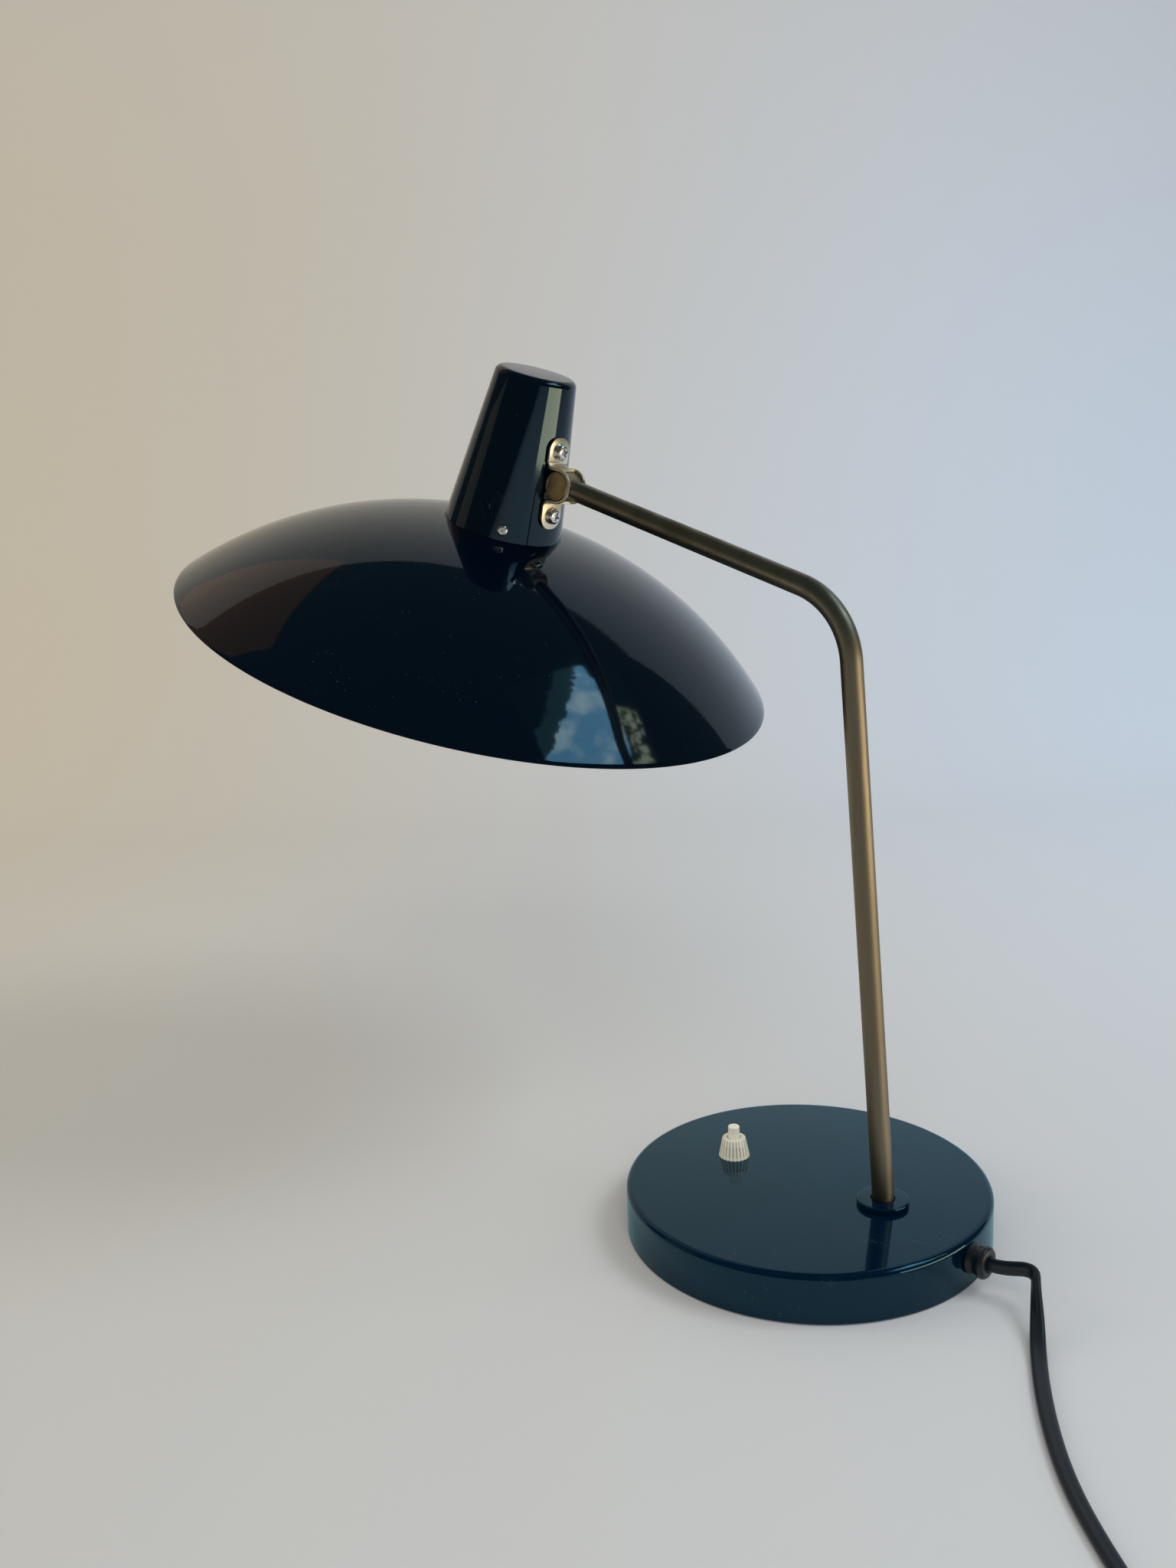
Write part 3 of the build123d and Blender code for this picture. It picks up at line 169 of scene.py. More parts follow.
class LampSettings(bpy.types.PropertyGroup):
    """All settings of the lamp."""

    base: bpy.props.PointerProperty(type=LampBaseSizes)
    arm: bpy.props.PointerProperty(type=LampArmSizes)
    head: bpy.props.PointerProperty(type=LampHeadSizes)
    colours: bpy.props.PointerProperty(type=LampColours)


def settings():
    """The lamp's settings on the scene."""
    return bpy.context.scene.lamp


# Modelling helpers


def deselect():
    """Leave edit mode and select nothing."""
    if bpy.context.object and bpy.context.object.mode != "OBJECT":
        bpy.ops.object.mode_set(mode="OBJECT")
    bpy.ops.object.select_all(action="DESELECT")


def pick(piece):
    """Select one object and make it active."""
    deselect()
    piece.select_set(True)
    bpy.context.view_layer.objects.active = piece


def begin(name):
    """A new piece in edit mode that holds a single vertex at the origin."""
    deselect()
    bpy.ops.mesh.primitive_plane_add(size=0.01)
    piece = bpy.context.object
    piece.name = piece.data.name = name
    bpy.ops.object.mode_set(mode="EDIT")
    bpy.ops.mesh.merge(type="CENTER")
    return piece


def draw(points):
    """Extrude the single vertex through the points of an outline."""
    bpy.ops.transform.translate(value=Vector(points[0]))
    for here, there in zip(points, points[1:]):
        bpy.ops.mesh.extrude_region_move(TRANSFORM_OT_translate={"value": Vector(there) - Vector(here)})


def close_up():
    """Merge doubled points and turn every face outwards."""
    bpy.ops.mesh.select_all(action="SELECT")
    bpy.ops.mesh.remove_doubles(threshold=0.000002)
    bpy.ops.mesh.normals_make_consistent(inside=False)
    bpy.ops.object.mode_set(mode="OBJECT")


def lathe(name, outline, steps=96):
    """Spin an outline of (radius, height) points round the Z axis."""
    piece = begin(name)
    draw([(radius, 0, height) for radius, height in outline])
    bpy.ops.mesh.select_all(action="SELECT")
    bpy.ops.mesh.spin(steps=steps, angle=TAU, center=(0, 0, 0), axis=(0, 0, 1))
    close_up()
    return piece


def prism(name, outline, low, high):
    """Extrude an outline of (x, y) points from one height to another."""
    piece = begin(name)
    draw([(x, y, low) for x, y in outline] + [(outline[0][0], outline[0][1], low)])
    bpy.ops.mesh.select_all(action="SELECT")
    bpy.ops.mesh.remove_doubles(threshold=0.000002)
    bpy.ops.mesh.edge_face_add()
    bpy.ops.mesh.select_all(action="SELECT")
    bpy.ops.mesh.extrude_region_move(TRANSFORM_OT_translate={"value": (0, 0, high - low)})
    close_up()
    return piece


def place(piece, matrix):
    """Move a piece to its place and keep its object at the origin."""
    pick(piece)
    piece.matrix_world = matrix
    bpy.ops.object.transform_apply(location=True, rotation=True, scale=True)
    return piece


def apply_modifier(piece, kind, **values):
    """Add one modifier with its values and apply it."""
    pick(piece)
    modifier = piece.modifiers.new(kind.lower(), kind)
    for name, value in values.items():
        setattr(modifier, name, value)
    bpy.ops.object.modifier_apply(modifier=modifier.name)


def cut(piece, cutter, operation="DIFFERENCE"):
    """Cut one piece with another, which is used up."""
    apply_modifier(piece, "BOOLEAN", object=cutter, operation=operation, solver="EXACT")
    bpy.data.objects.remove(cutter, do_unlink=True)


def soften(piece, width, segments=2, angle=30):
    """Round the sharp edges a little."""
    apply_modifier(piece, "BEVEL", width=width, segments=segments, limit_method="ANGLE",
                   angle_limit=math.radians(angle), harden_normals=False)


def smooth(piece, angle=32):
    """Shade smooth except at sharp edges."""
    pick(piece)
    bpy.ops.object.shade_smooth_by_angle(angle=math.radians(angle), keep_sharp_edges=False)


def join(pieces, name):
    """Join pieces into one and name it."""
    pick(pieces[0])
    for other in pieces[1:]:
        other.select_set(True)
    bpy.ops.object.join()
    pieces[0].name = pieces[0].data.name = name
    return pieces[0]


def copy_of(piece, matrix):
    """A copy with its own mesh, at a place."""
    pick(piece)
    bpy.ops.object.duplicate()
    return place(bpy.context.object, matrix)


def round_bar(radius, low, high, vertices=48):
    """A plain cylinder along Z that serves as a cutter."""
    deselect()
    bpy.ops.mesh.primitive_cylinder_add(vertices=vertices, radius=radius, depth=high - low,
                                        location=(0, 0, (high + low) / 2))
    return bpy.context.object


def block(size, centre):
    """A plain box that serves as a cutter or as the start of a piece."""
    deselect()
    bpy.ops.mesh.primitive_cube_add(size=1, location=centre, scale=size)
    bpy.ops.object.transform_apply(location=True, rotation=True, scale=True)
    return bpy.context.object


def arc(centre, radius, start, end, steps):
    """Points of an arc; angles in degrees."""
    turns = [math.radians(start + (end - start) * step / steps) for step in range(steps + 1)]
    return [(centre[0] + radius * math.cos(turn), centre[1] + radius * math.sin(turn)) for turn in turns]


def frame_matrix(origin, x_axis, z_axis):
    """A placement from its origin, its X axis and its Z axis."""
    z_axis = Vector(z_axis).normalized()
    x_axis = Vector(x_axis).normalized()
    y_axis = z_axis.cross(x_axis)
    matrix = Matrix((x_axis, y_axis, z_axis)).transposed().to_4x4()
    matrix.translation = Vector(origin)
    return matrix


def finished(piece, body, slot, material, *nodes, angle=32):
    """Shade a piece smooth, give it its material, hang it on its body and hide the frame's pieces that it stands for.
    """
    smooth(piece, angle)
    piece.data.materials.clear()
    piece.data.materials.append(material)
    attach(piece, body)
    if nodes:
        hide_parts(*nodes)
    return piece


def wire_rod(name, points, bends, radius, rings=10):
    """A round rod along straight runs and arcs, drawn as one Bezier curve and made a mesh."""
    knots = [(Vector(points[0]), None, None)]
    for before, here, after, bend in zip(points, points[1:], points[2:], bends):
        back = (Vector(before) - Vector(here)).normalized()
        on = (Vector(after) - Vector(here)).normalized()
        turn = math.pi - back.angle(on)
        reach = bend * math.tan(turn / 2)
        handle = 4 / 3 * math.tan(turn / 4) * bend
        first, last = Vector(here) + back * reach, Vector(here) + on * reach
        knots.append((first, None, first - back * handle))
        knots.append((last, last - on * handle, None))
    knots.append((Vector(points[-1]), None, None))
    deselect()
    bpy.ops.curve.primitive_bezier_curve_add()
    rod = bpy.context.object
    rod.name = rod.data.name = name
    bpy.ops.object.mode_set(mode="EDIT")
    bpy.ops.curve.select_all(action="SELECT")
    bpy.ops.curve.delete(type="VERT")
    bpy.ops.object.mode_set(mode="OBJECT")
    rod.matrix_world = Matrix.Identity(4)
    spline = rod.data.splines.new("BEZIER")
    spline.bezier_points.add(len(knots) - 1)
    for point, (place_at, left, right) in zip(spline.bezier_points, knots):
        point.handle_left_type = point.handle_right_type = "FREE"
        point.co = place_at
        point.handle_left = left if left else place_at
        point.handle_right = right if right else place_at
    rod.data.dimensions = "3D"
    rod.data.resolution_u = 24
    rod.data.bevel_depth = radius
    rod.data.bevel_resolution = rings
    rod.data.use_fill_caps = True
    pick(rod)
    bpy.ops.object.convert(target="MESH")
    rod = bpy.context.object
    pick(rod)
    bpy.ops.object.mode_set(mode="EDIT")
    close_up()
    return rod


# Shader node groups and materials


class Nodes:
    """A short way to add and link shader nodes."""

    def __init__(self, tree):
        self.tree = tree

    def add(self, kind, **values):
        node = self.tree.nodes.new(kind)
        for name, value in values.items():
            setattr(node, name, value)
        return node

    def set(self, node, name, value):
        """Link a socket to an input, or give the input a plain value."""
        target = node.inputs[name]
        if isinstance(value, bpy.types.NodeSocket):
            self.tree.links.new(value, target)
        else:
            target.default_value = value

    def noise(self, vector, scale, detail=3.0, roughness=0.5, distortion=0.0):
        node = self.add("ShaderNodeTexNoise")
        for name, value in (("Vector", vector), ("Scale", scale), ("Detail", detail), ("Roughness", roughness),
                            ("Distortion", distortion)):
            self.set(node, name, value)
        return node.outputs["Fac"]

    def ramp(self, factor, low, high, invert=False):
        node = self.add("ShaderNodeMapRange", interpolation_type="SMOOTHSTEP")
        for name, value in (("Value", factor), ("From Min", low), ("From Max", high),
                            ("To Min", 1.0 if invert else 0.0), ("To Max", 0.0 if invert else 1.0)):
            self.set(node, name, value)
        return node.outputs["Result"]

    def math(self, operation, first, second=0.0):
        node = self.add("ShaderNodeMath", operation=operation)
        self.set(node, 0, first)
        self.set(node, 1, second)
        return node.outputs[0]

    def mix(self, factor, first, second):
        node = self.add("ShaderNodeMix", data_type="RGBA")
        for socket, value in ((node.inputs[0], factor), (node.inputs[6], first), (node.inputs[7], second)):
            if isinstance(value, bpy.types.NodeSocket):
                self.tree.links.new(value, socket)
            else:
                socket.default_value = value if socket.type == "VALUE" else (*value[:3], 1)
        return node.outputs[2]

    def mapped(self, vector, scale, rotation=(0, 0, 0)):
        node = self.add("ShaderNodeMapping")
        self.set(node, "Vector", vector)
        node.inputs["Scale"].default_value = scale
        node.inputs["Rotation"].default_value = rotation
        return node.outputs["Vector"]


def new_group(name, inputs, outputs):
    """An empty shader node group with named inputs and outputs."""
    group = bpy.data.node_groups.new(name, "ShaderNodeTree")
    for socket, kind, default in inputs:
        made = group.interface.new_socket(name=socket, in_out="INPUT", socket_type=kind)
        if default is not None:
            made.default_value = default
    for socket, kind in outputs:
        group.interface.new_socket(name=socket, in_out="OUTPUT", socket_type=kind)
    nodes = Nodes(group)
    return group, nodes, nodes.add("NodeGroupInput").outputs, nodes.add("NodeGroupOutput")


def scratch_group():
    """Sparse hair-fine scratches that run in three directions."""
    group, nodes, given, result = new_group(
        "scratches",
        [("Vector", "NodeSocketVector", None), ("Scale", "NodeSocketFloat", 60.0),
         ("Amount", "NodeSocketFloat", 0.5)],
        [("Mask", "NodeSocketFloat")])
    total = None
    for turn, stretch in ((0.35, 26.0), (1.45, 34.0), (2.5, 30.0)):
        vector = nodes.mapped(given["Vector"], (1.0, stretch, 3.0), (turn * 0.4, turn * 0.7, turn))
        lines = nodes.noise(vector, given["Scale"], 2.0, 0.4, 0.25)
        thin = nodes.ramp(nodes.math("ABSOLUTE", nodes.math("SUBTRACT", lines, 0.5)), 0.0, 0.007, invert=True)
        patch = nodes.ramp(nodes.noise(nodes.mapped(given["Vector"], (1, 1, 1), (turn, 0, turn)), 22.0, 2.0),
                           0.70, 0.74)
        here = nodes.math("MULTIPLY", thin, patch)
        total = here if total is None else nodes.math("MAXIMUM", total, here)
    nodes.set(result, "Mask", nodes.math("MULTIPLY", total, given["Amount"]))
    return group


def dust_group():
    """Fine specks of dust and soft smudges."""
    group, nodes, given, result = new_group(
        "dust and smudges",
        [("Vector", "NodeSocketVector", None), ("Amount", "NodeSocketFloat", 0.5)],
        [("Dust", "NodeSocketFloat"), ("Smudge", "NodeSocketFloat")])
    cells = nodes.add("ShaderNodeTexVoronoi", feature="F1")
    nodes.set(cells, "Vector", given["Vector"])
    cells.inputs["Scale"].default_value = 420.0
    specks = nodes.ramp(cells.outputs["Distance"], 0.05, 0.11, invert=True)
    patch = nodes.ramp(nodes.noise(given["Vector"], 35.0, 4.0, 0.7), 0.52, 0.70)
    nodes.set(result, "Dust", nodes.math("MULTIPLY", nodes.math("MULTIPLY", specks, patch), given["Amount"]))
    soft = nodes.ramp(nodes.noise(given["Vector"], 14.0, 5.0, 0.6, 0.6), 0.42, 0.72)
    nodes.set(result, "Smudge", nodes.math("MULTIPLY", soft, given["Amount"]))
    return group


def grain_group():
    """Fine drawn grain along one axis, with a slow mottling."""
    group, nodes, given, result = new_group(
        "drawn grain",
        [("Vector", "NodeSocketVector", None), ("Scale", "NodeSocketFloat", 900.0)],
        [("Grain", "NodeSocketFloat"), ("Mottle", "NodeSocketFloat")])
    nodes.set(result, "Grain", nodes.noise(given["Vector"], given["Scale"], 4.0, 0.6))
    nodes.set(result, "Mottle", nodes.noise(given["Vector"], 42.0, 6.0, 0.65, 0.4))
    return group


def orange_peel_group():
    """The slight waviness of sprayed enamel."""
    group, nodes, given, result = new_group(
        "orange peel", [("Vector", "NodeSocketVector", None), ("Scale", "NodeSocketFloat", 260.0)],
        [("Height", "NodeSocketFloat")])
    fine = nodes.noise(given["Vector"], given["Scale"], 1.0, 0.4)
    wide = nodes.noise(given["Vector"], 24.0, 1.0, 0.4)
    nodes.set(result, "Height", nodes.math("ADD", nodes.math("MULTIPLY", fine, 0.25), wide))
    return group


GROUPS = {}


def group_node(nodes, name, **values):
    """Place one of the shared groups in a material."""
    makers = {"scratches": scratch_group, "dust and smudges": dust_group, "drawn grain": grain_group,
              "orange peel": orange_peel_group}
    if name not in GROUPS:
        GROUPS[name] = makers[name]()
    node = nodes.add("ShaderNodeGroup", node_tree=GROUPS[name])
    for socket, value in values.items():
        nodes.set(node, socket, value)
    return node.outputs


def new_material(name, metallic, roughness, coat=0.0, coat_roughness=0.03, specular=0.5):
    """A material with its Principled shader, its nodes and object coordinates."""
    material = bpy.data.materials.new(name)
    material.use_nodes = True
    nodes = Nodes(material.node_tree)
    shader = material.node_tree.nodes["Principled BSDF"]
    for socket, value in (("Metallic", metallic), ("Roughness", roughness), ("Coat Weight", coat),
                          ("Coat Roughness", coat_roughness), ("Specular IOR Level", specular)):
        shader.inputs[socket].default_value = value
    coordinates = nodes.add("ShaderNodeTexCoord").outputs["Object"]
    return material, nodes, shader, coordinates


def bump(nodes, shader, height, strength, distance):
    """Feed a height to the shader's normal."""
    node = nodes.add("ShaderNodeBump")
    nodes.set(node, "Height", height)
    node.inputs["Strength"].default_value = strength
    node.inputs["Distance"].default_value = distance
    nodes.set(shader, "Normal", node.outputs["Normal"])


def enamel_material(name, tone, scratch_tone, wear, dust, mirror_tone, lacquer=None):
    """Gloss enamel: deep colour, waviness, hairline scratches and dust, under a tinted lacquer if there is one."""
    material, nodes, shader, where = new_material(name, 0.0, 0.05, coat=1.0 if lacquer else 0.0)
    shader.inputs["Specular Tint"].default_value = (*mirror_tone, 1)
    if lacquer:
        shader.inputs["Coat IOR"].default_value = 1.02
        shader.inputs["Coat Tint"].default_value = (*lacquer, 1)
    scratches = group_node(nodes, "scratches", Vector=where, Scale=26.0, Amount=wear)["Mask"]
    marks = group_node(nodes, "dust and smudges", Vector=where, Amount=dust)
    specks = nodes.mix(marks["Dust"], tone, (0.32, 0.30, 0.27))
    nodes.set(shader, "Base Color", nodes.mix(scratches, specks, scratch_tone))
    rough = nodes.math("ADD", nodes.math("MULTIPLY", marks["Smudge"], 0.09),
                       nodes.math("MULTIPLY", scratches, 0.4))
    nodes.set(shader, "Roughness", nodes.math("ADD", rough, 0.045))
    peel = group_node(nodes, "orange peel", Vector=where, Scale=300.0)["Height"]
    bump(nodes, shader, nodes.math("SUBTRACT", peel, nodes.math("MULTIPLY", scratches, 0.3)), 0.05, 0.0004)
    return material


def metal_material(name, tone, dark, roughness, grain_scale=(1, 1, 1), wear=0.3):
    """Plated or bare metal with grain, mottling and stains."""
    material, nodes, shader, where = new_material(name, 1.0, roughness)
    grain = group_node(nodes, "drawn grain", Vector=nodes.mapped(where, grain_scale), Scale=700.0)
    stain = nodes.ramp(grain["Mottle"], 0.40, 0.68)
    worn = nodes.mix(nodes.math("MULTIPLY", stain, 0.75), tone, dark)
    scratches = group_node(nodes, "scratches", Vector=where, Scale=60.0, Amount=wear)["Mask"]
    nodes.set(shader, "Base Color", nodes.mix(scratches, worn, tuple(min(1, part * 1.5) for part in tone)))
    spread = nodes.math("MULTIPLY", grain["Grain"], 0.16)
    rough = nodes.math("ADD", spread, nodes.math("MULTIPLY", stain, 0.12))
    nodes.set(shader, "Roughness", nodes.math("ADD", rough, roughness - 0.08))
    bump(nodes, shader, grain["Grain"], 0.12, 0.0002)
    return material


def plastic_material(name, tone, roughness, coarse=500.0, sheen=0.0, subsurface=0.0):
    """Moulded plastic or rubber with a fine surface, faint smudges and dust."""
    material, nodes, shader, where = new_material(name, 0.0, roughness)
    shader.inputs["Subsurface Weight"].default_value = subsurface
    shader.inputs["Subsurface Scale"].default_value = 0.001
    shader.inputs["Sheen Weight"].default_value = sheen
    marks = group_node(nodes, "dust and smudges", Vector=where, Amount=0.5)
    fine = nodes.noise(where, coarse, 3.0, 0.6)
    dirty = tuple(part * 0.72 for part in tone)
    shade = nodes.mix(nodes.math("MULTIPLY", marks["Smudge"], 0.6), tone, dirty)
    nodes.set(shader, "Base Color", nodes.mix(nodes.math("MULTIPLY", marks["Dust"], 0.5), shade,
                                              (0.35, 0.33, 0.30)))
    nodes.set(shader, "Roughness", nodes.math("ADD", nodes.math("MULTIPLY", fine, 0.16), roughness - 0.08))
    bump(nodes, shader, fine, 0.08, 0.0003)
    return material


def fluted_material(name, tone, roughness):
    """Moulded plastic with painted shade darkening the flutes round the switch."""
    material = plastic_material(name, tone, roughness)
    nodes = Nodes(material.node_tree)
    shader = material.node_tree.nodes["Principled BSDF"]
    plain = shader.inputs["Base Color"].links[0].from_socket
    spot = nodes.add("ShaderNodeSeparateXYZ")
    nodes.set(spot, 0, nodes.add("ShaderNodeTexCoord").outputs["Object"])
    across = nodes.math("SUBTRACT", spot.outputs["X"], settings().base.switch_x)
    turn = nodes.math("MULTIPLY", nodes.math("ARCTAN2", spot.outputs["Y"], across), FLUTES)
    # Painted shade: the colour is darkened in the flutes, from just above the collar's foot upwards.
    groove = nodes.ramp(nodes.math("COSINE", turn), -0.2, 0.7)
    level = nodes.ramp(spot.outputs["Z"], settings().base.height + 0.0008, settings().base.height + 0.0016)
    painted_flute_shade = nodes.math("MULTIPLY", nodes.math("MULTIPLY", groove, level), 0.62)
    nodes.set(shader, "Base Color", nodes.mix(painted_flute_shade, plain, (0.32, 0.28, 0.17)))
    return material


def glass_material():
    """Opal glass of the bulb."""
    material, nodes, shader, where = new_material("bulb opal glass", 0.0, 0.12, coat=0.5)
    shader.inputs["Subsurface Weight"].default_value = 0.4
    shader.inputs["Subsurface Scale"].default_value = 0.01
    cloud = nodes.noise(where, 60.0, 3.0)
    nodes.set(shader, "Base Color", nodes.mix(cloud, (0.90, 0.89, 0.85), (0.84, 0.83, 0.79)))
    return material


def felt_material():
    """Dark felt with short fibres."""
    material, nodes, shader, where = new_material("base felt", 0.0, 0.95)
    shader.inputs["Sheen Weight"].default_value = 0.5
    fibres = nodes.noise(where, 1400.0, 4.0, 0.8, 1.5)
    nodes.set(shader, "Base Color", nodes.mix(fibres, (0.012, 0.020, 0.016), (0.045, 0.060, 0.050)))
    bump(nodes, shader, fibres, 0.6, 0.0006)
    return material


MATERIALS = {}


def finish_of(name):
    """One of the lamp's finishes, made when it is first asked for."""
    tones = settings().colours
    makers = {
        "enamel": lambda: enamel_material("black enamel", tones.enamel, (0.10, 0.10, 0.10), 0.4, 0.4,
                                          (0.55, 0.85, 1.0)),
        "base enamel": lambda: enamel_material("teal black enamel", tones.base_enamel, (0.12, 0.14, 0.15), 0.4, 0.4,
                                               (0.45, 0.86, 1.0),
                                               (0.84, 0.97, 1.0)),
        "lining": lambda: enamel_material("white enamel lining", tones.lining, (0.5, 0.48, 0.44), 0.2, 0.25,
                                          (1.0, 1.0, 1.0)),
        "tube": lambda: metal_material("aged tube", tones.tube, (0.19, 0.155, 0.10), 0.36, (1, 1, 0.03), 0.5),
        "barrel": lambda: metal_material("dark barrel", tones.barrel, (0.24, 0.17, 0.09), 0.34),
        "strap": lambda: metal_material("nickel strap", tones.strap, (0.55, 0.46, 0.32), 0.28),
        "screw": lambda: metal_material("bright zinc", tones.screw, (0.50, 0.51, 0.49), 0.20),
        "steel": lambda: metal_material("sheet steel", (0.42, 0.42, 0.43), (0.25, 0.24, 0.23), 0.42),
        "iron": lambda: metal_material("cast iron", (0.12, 0.12, 0.125), (0.07, 0.06, 0.055), 0.65),
        "brass": lambda: metal_material("bright brass", (0.68, 0.50, 0.22), (0.42, 0.29, 0.12), 0.28),
        "ivory": lambda: plastic_material("ivory plastic", tones.ivory, 0.38),
        "fluted ivory": lambda: fluted_material("fluted ivory", tones.ivory, 0.36),
        "rubber": lambda: plastic_material("grommet rubber", tones.rubber, 0.40),
        "cord": lambda: plastic_material("cord sheath", tones.cord, 0.42),
        "bakelite": lambda: plastic_material("black moulding", (0.016, 0.014, 0.012), 0.25),
        "porcelain": lambda: plastic_material("glazed porcelain", (0.80, 0.79, 0.75), 0.16),
        "wire": lambda: plastic_material("wire sheath", (0.07, 0.045, 0.03), 0.45),
        "felt": felt_material,
        "glass": glass_material,
    }
    if name not in MATERIALS:
        MATERIALS[name] = makers[name]()
    return MATERIALS[name]


# Places that several pieces share


def head_matrix():
    """Placement of the shade's own frame: X across, Z up the shade's axis, origin in the rim's plane."""
    head, arm = settings().head, settings().arm
    across = Vector((math.cos(head.tilt), 0, -math.sin(head.tilt)))
    upward = Vector((math.sin(head.tilt), 0, math.cos(head.tilt)))
    seat = arm.barrel_radius + 0.00015
    reach = cap_radius(head.pivot_height) + seat / math.cos(cap_slope())
    return frame_matrix(PIVOT - across * reach - upward * head.pivot_height, across, upward)


def cap_slope():
    """Slope of the cap's side from the shade's axis."""
    head = settings().head
    return math.atan2(head.cap_foot - head.cap_top, head.cap_height - head.crown_height)


def cap_radius(height):
    """Outer radius of the cap at a height above the rim's plane."""
    head = settings().head
    return head.cap_foot - (height - head.crown_height) * math.tan(cap_slope())


def strap_matrix():
    """Placement of the strap's frame: X away from the cap, Z up along its side, origin at the pivot."""
    turn = settings().head.tilt - cap_slope()
    outward = Vector((math.cos(turn), 0, -math.sin(turn)))
    along = Vector((math.sin(turn), 0, math.cos(turn)))
    return frame_matrix(PIVOT, outward, along)


def exit_matrix():
    """Placement of the grommet: Z out of the base, X to the side."""
    base = settings().base
    way = Vector((math.cos(base.exit_turn), math.sin(base.exit_turn), 0))
    return frame_matrix(way * base.radius + Vector((0, 0, base.exit_height)), (-way.y, way.x, 0), way)


def dome_centre():
    """Centre of the dome's arc in the shade's section."""
    head = settings().head
    chord = Vector((head.cap_foot - head.rim_radius, head.crown_height))
    reach = math.sqrt(head.dome_radius ** 2 - (chord.length / 2) ** 2)
    middle = Vector((head.cap_foot + head.rim_radius, head.crown_height)) / 2
    return middle - Vector((chord.y, -chord.x)).normalized() * reach


# Operators, one for each piece or group of pieces


class LAMP_OT_base(bpy.types.Operator):
    """Model the base's enamelled shell and the flange round the stem."""

    bl_idname = "lamp.base"
    bl_label = "Base and flange"

    def execute(self, context):
        base, arm = settings().base, settings().arm
        inner = base.radius - base.wall
        low_edge = arc((base.radius - base.edge, base.height - base.edge), base.edge, 0, 90, 10)
        ceiling = base.height - base.wall
        inside = arc((base.radius - base.edge, base.height - base.edge), base.edge - base.wall, 90, 0, 6)
        outline = ([(inner, base.skirt_gap), (base.radius, base.skirt_gap)] + low_edge + [(0, base.height)]
                   + [(0, ceiling)] + inside + [(inner, base.skirt_gap)])
        shell = lathe("lamp_base_shell", outline, 192)
        for x, radius in ((base.stem_x, arm.tube_radius + 0.0002), (base.switch_x, 0.0043)):
            hole = round_bar(radius, ceiling - 0.002, base.height + 0.002)
            cut(shell, place(hole, Matrix.Translation((x, 0, 0))))
        hole = round_bar(base.grommet_waist + 0.0002, -0.004, 0.004)
        cut(shell, place(hole, exit_matrix()))
        finished(shell, "stand", "enamel", finish_of("base enamel"), "base_shell")

        top = base.height + base.flange_height
        rounded = arc((base.flange_radius - base.flange_edge, top - base.flange_edge), base.flange_edge, 0, 90, 8)
        bore = arm.tube_radius + 0.0001
        outline = [(bore, base.height), (base.flange_radius - 0.0003, base.height),
                   (base.flange_radius, base.height + 0.0003)] + rounded
        outline += [(bore + 0.0006, top), (bore, top - 0.0006), (bore, base.height)]
        flange = place(lathe("lamp_foot_flange", outline), Matrix.Translation((base.stem_x, 0, 0)))
        finished(flange, "stand", "enamel", finish_of("base enamel"), "foot_flange")
        return {"FINISHED"}


class LAMP_OT_arm(bpy.types.Operator):
    """Bend the tube of the stem and arm and turn the barrel at its end."""

    bl_idname = "lamp.arm"
    bl_label = "Bent tube and barrel"

    def execute(self, context):
        base, arm = settings().base, settings().arm
        start = Vector((base.stem_x, 0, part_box("arm_tube")[0][2]))
        lean = Vector((base.stem_x, 0, arm.lean_start))
        corner = lean + Vector((-math.tan(arm.lean), 0, 1)) * (arm.corner_height - arm.lean_start)
        way = Vector((-math.cos(arm.rise), 0, math.sin(arm.rise)))
        seat = 0.0026
        tube = wire_rod("lamp_arm_tube", [start, lean, corner, PIVOT - way * seat], [arm.foot_bend, arm.elbow],
                        arm.tube_radius, rings=14)
        finished(tube, "stand", "tube", finish_of("tube"), "arm_tube")

        half, edge, radius = arm.barrel_length / 2, 0.0005, arm.barrel_radius
        outline = [(0, -half + 0.0002), (radius - 0.0013, -half + 0.0002), (radius - 0.0011, -half)]
        outline += [(radius - edge, -half), (radius, -half + edge), (radius, half - edge), (radius - edge, half)]
        outline += [(radius - 0.0011, half), (radius - 0.0013, half - 0.0002), (0, half - 0.0002)]
        barrel = place(lathe("lamp_pivot_barrel", outline, 72), frame_matrix(PIVOT, (1, 0, 0), (0, 1, 0)))
        bore = round_bar(arm.tube_radius + 0.00008, seat - 0.0001, radius + 0.003)
        cut(barrel, place(bore, frame_matrix(PIVOT, (0, 1, 0), -way)))
        finished(barrel, "stand", "barrel", finish_of("barrel"), "pivot_barrel")
        return {"FINISHED"}


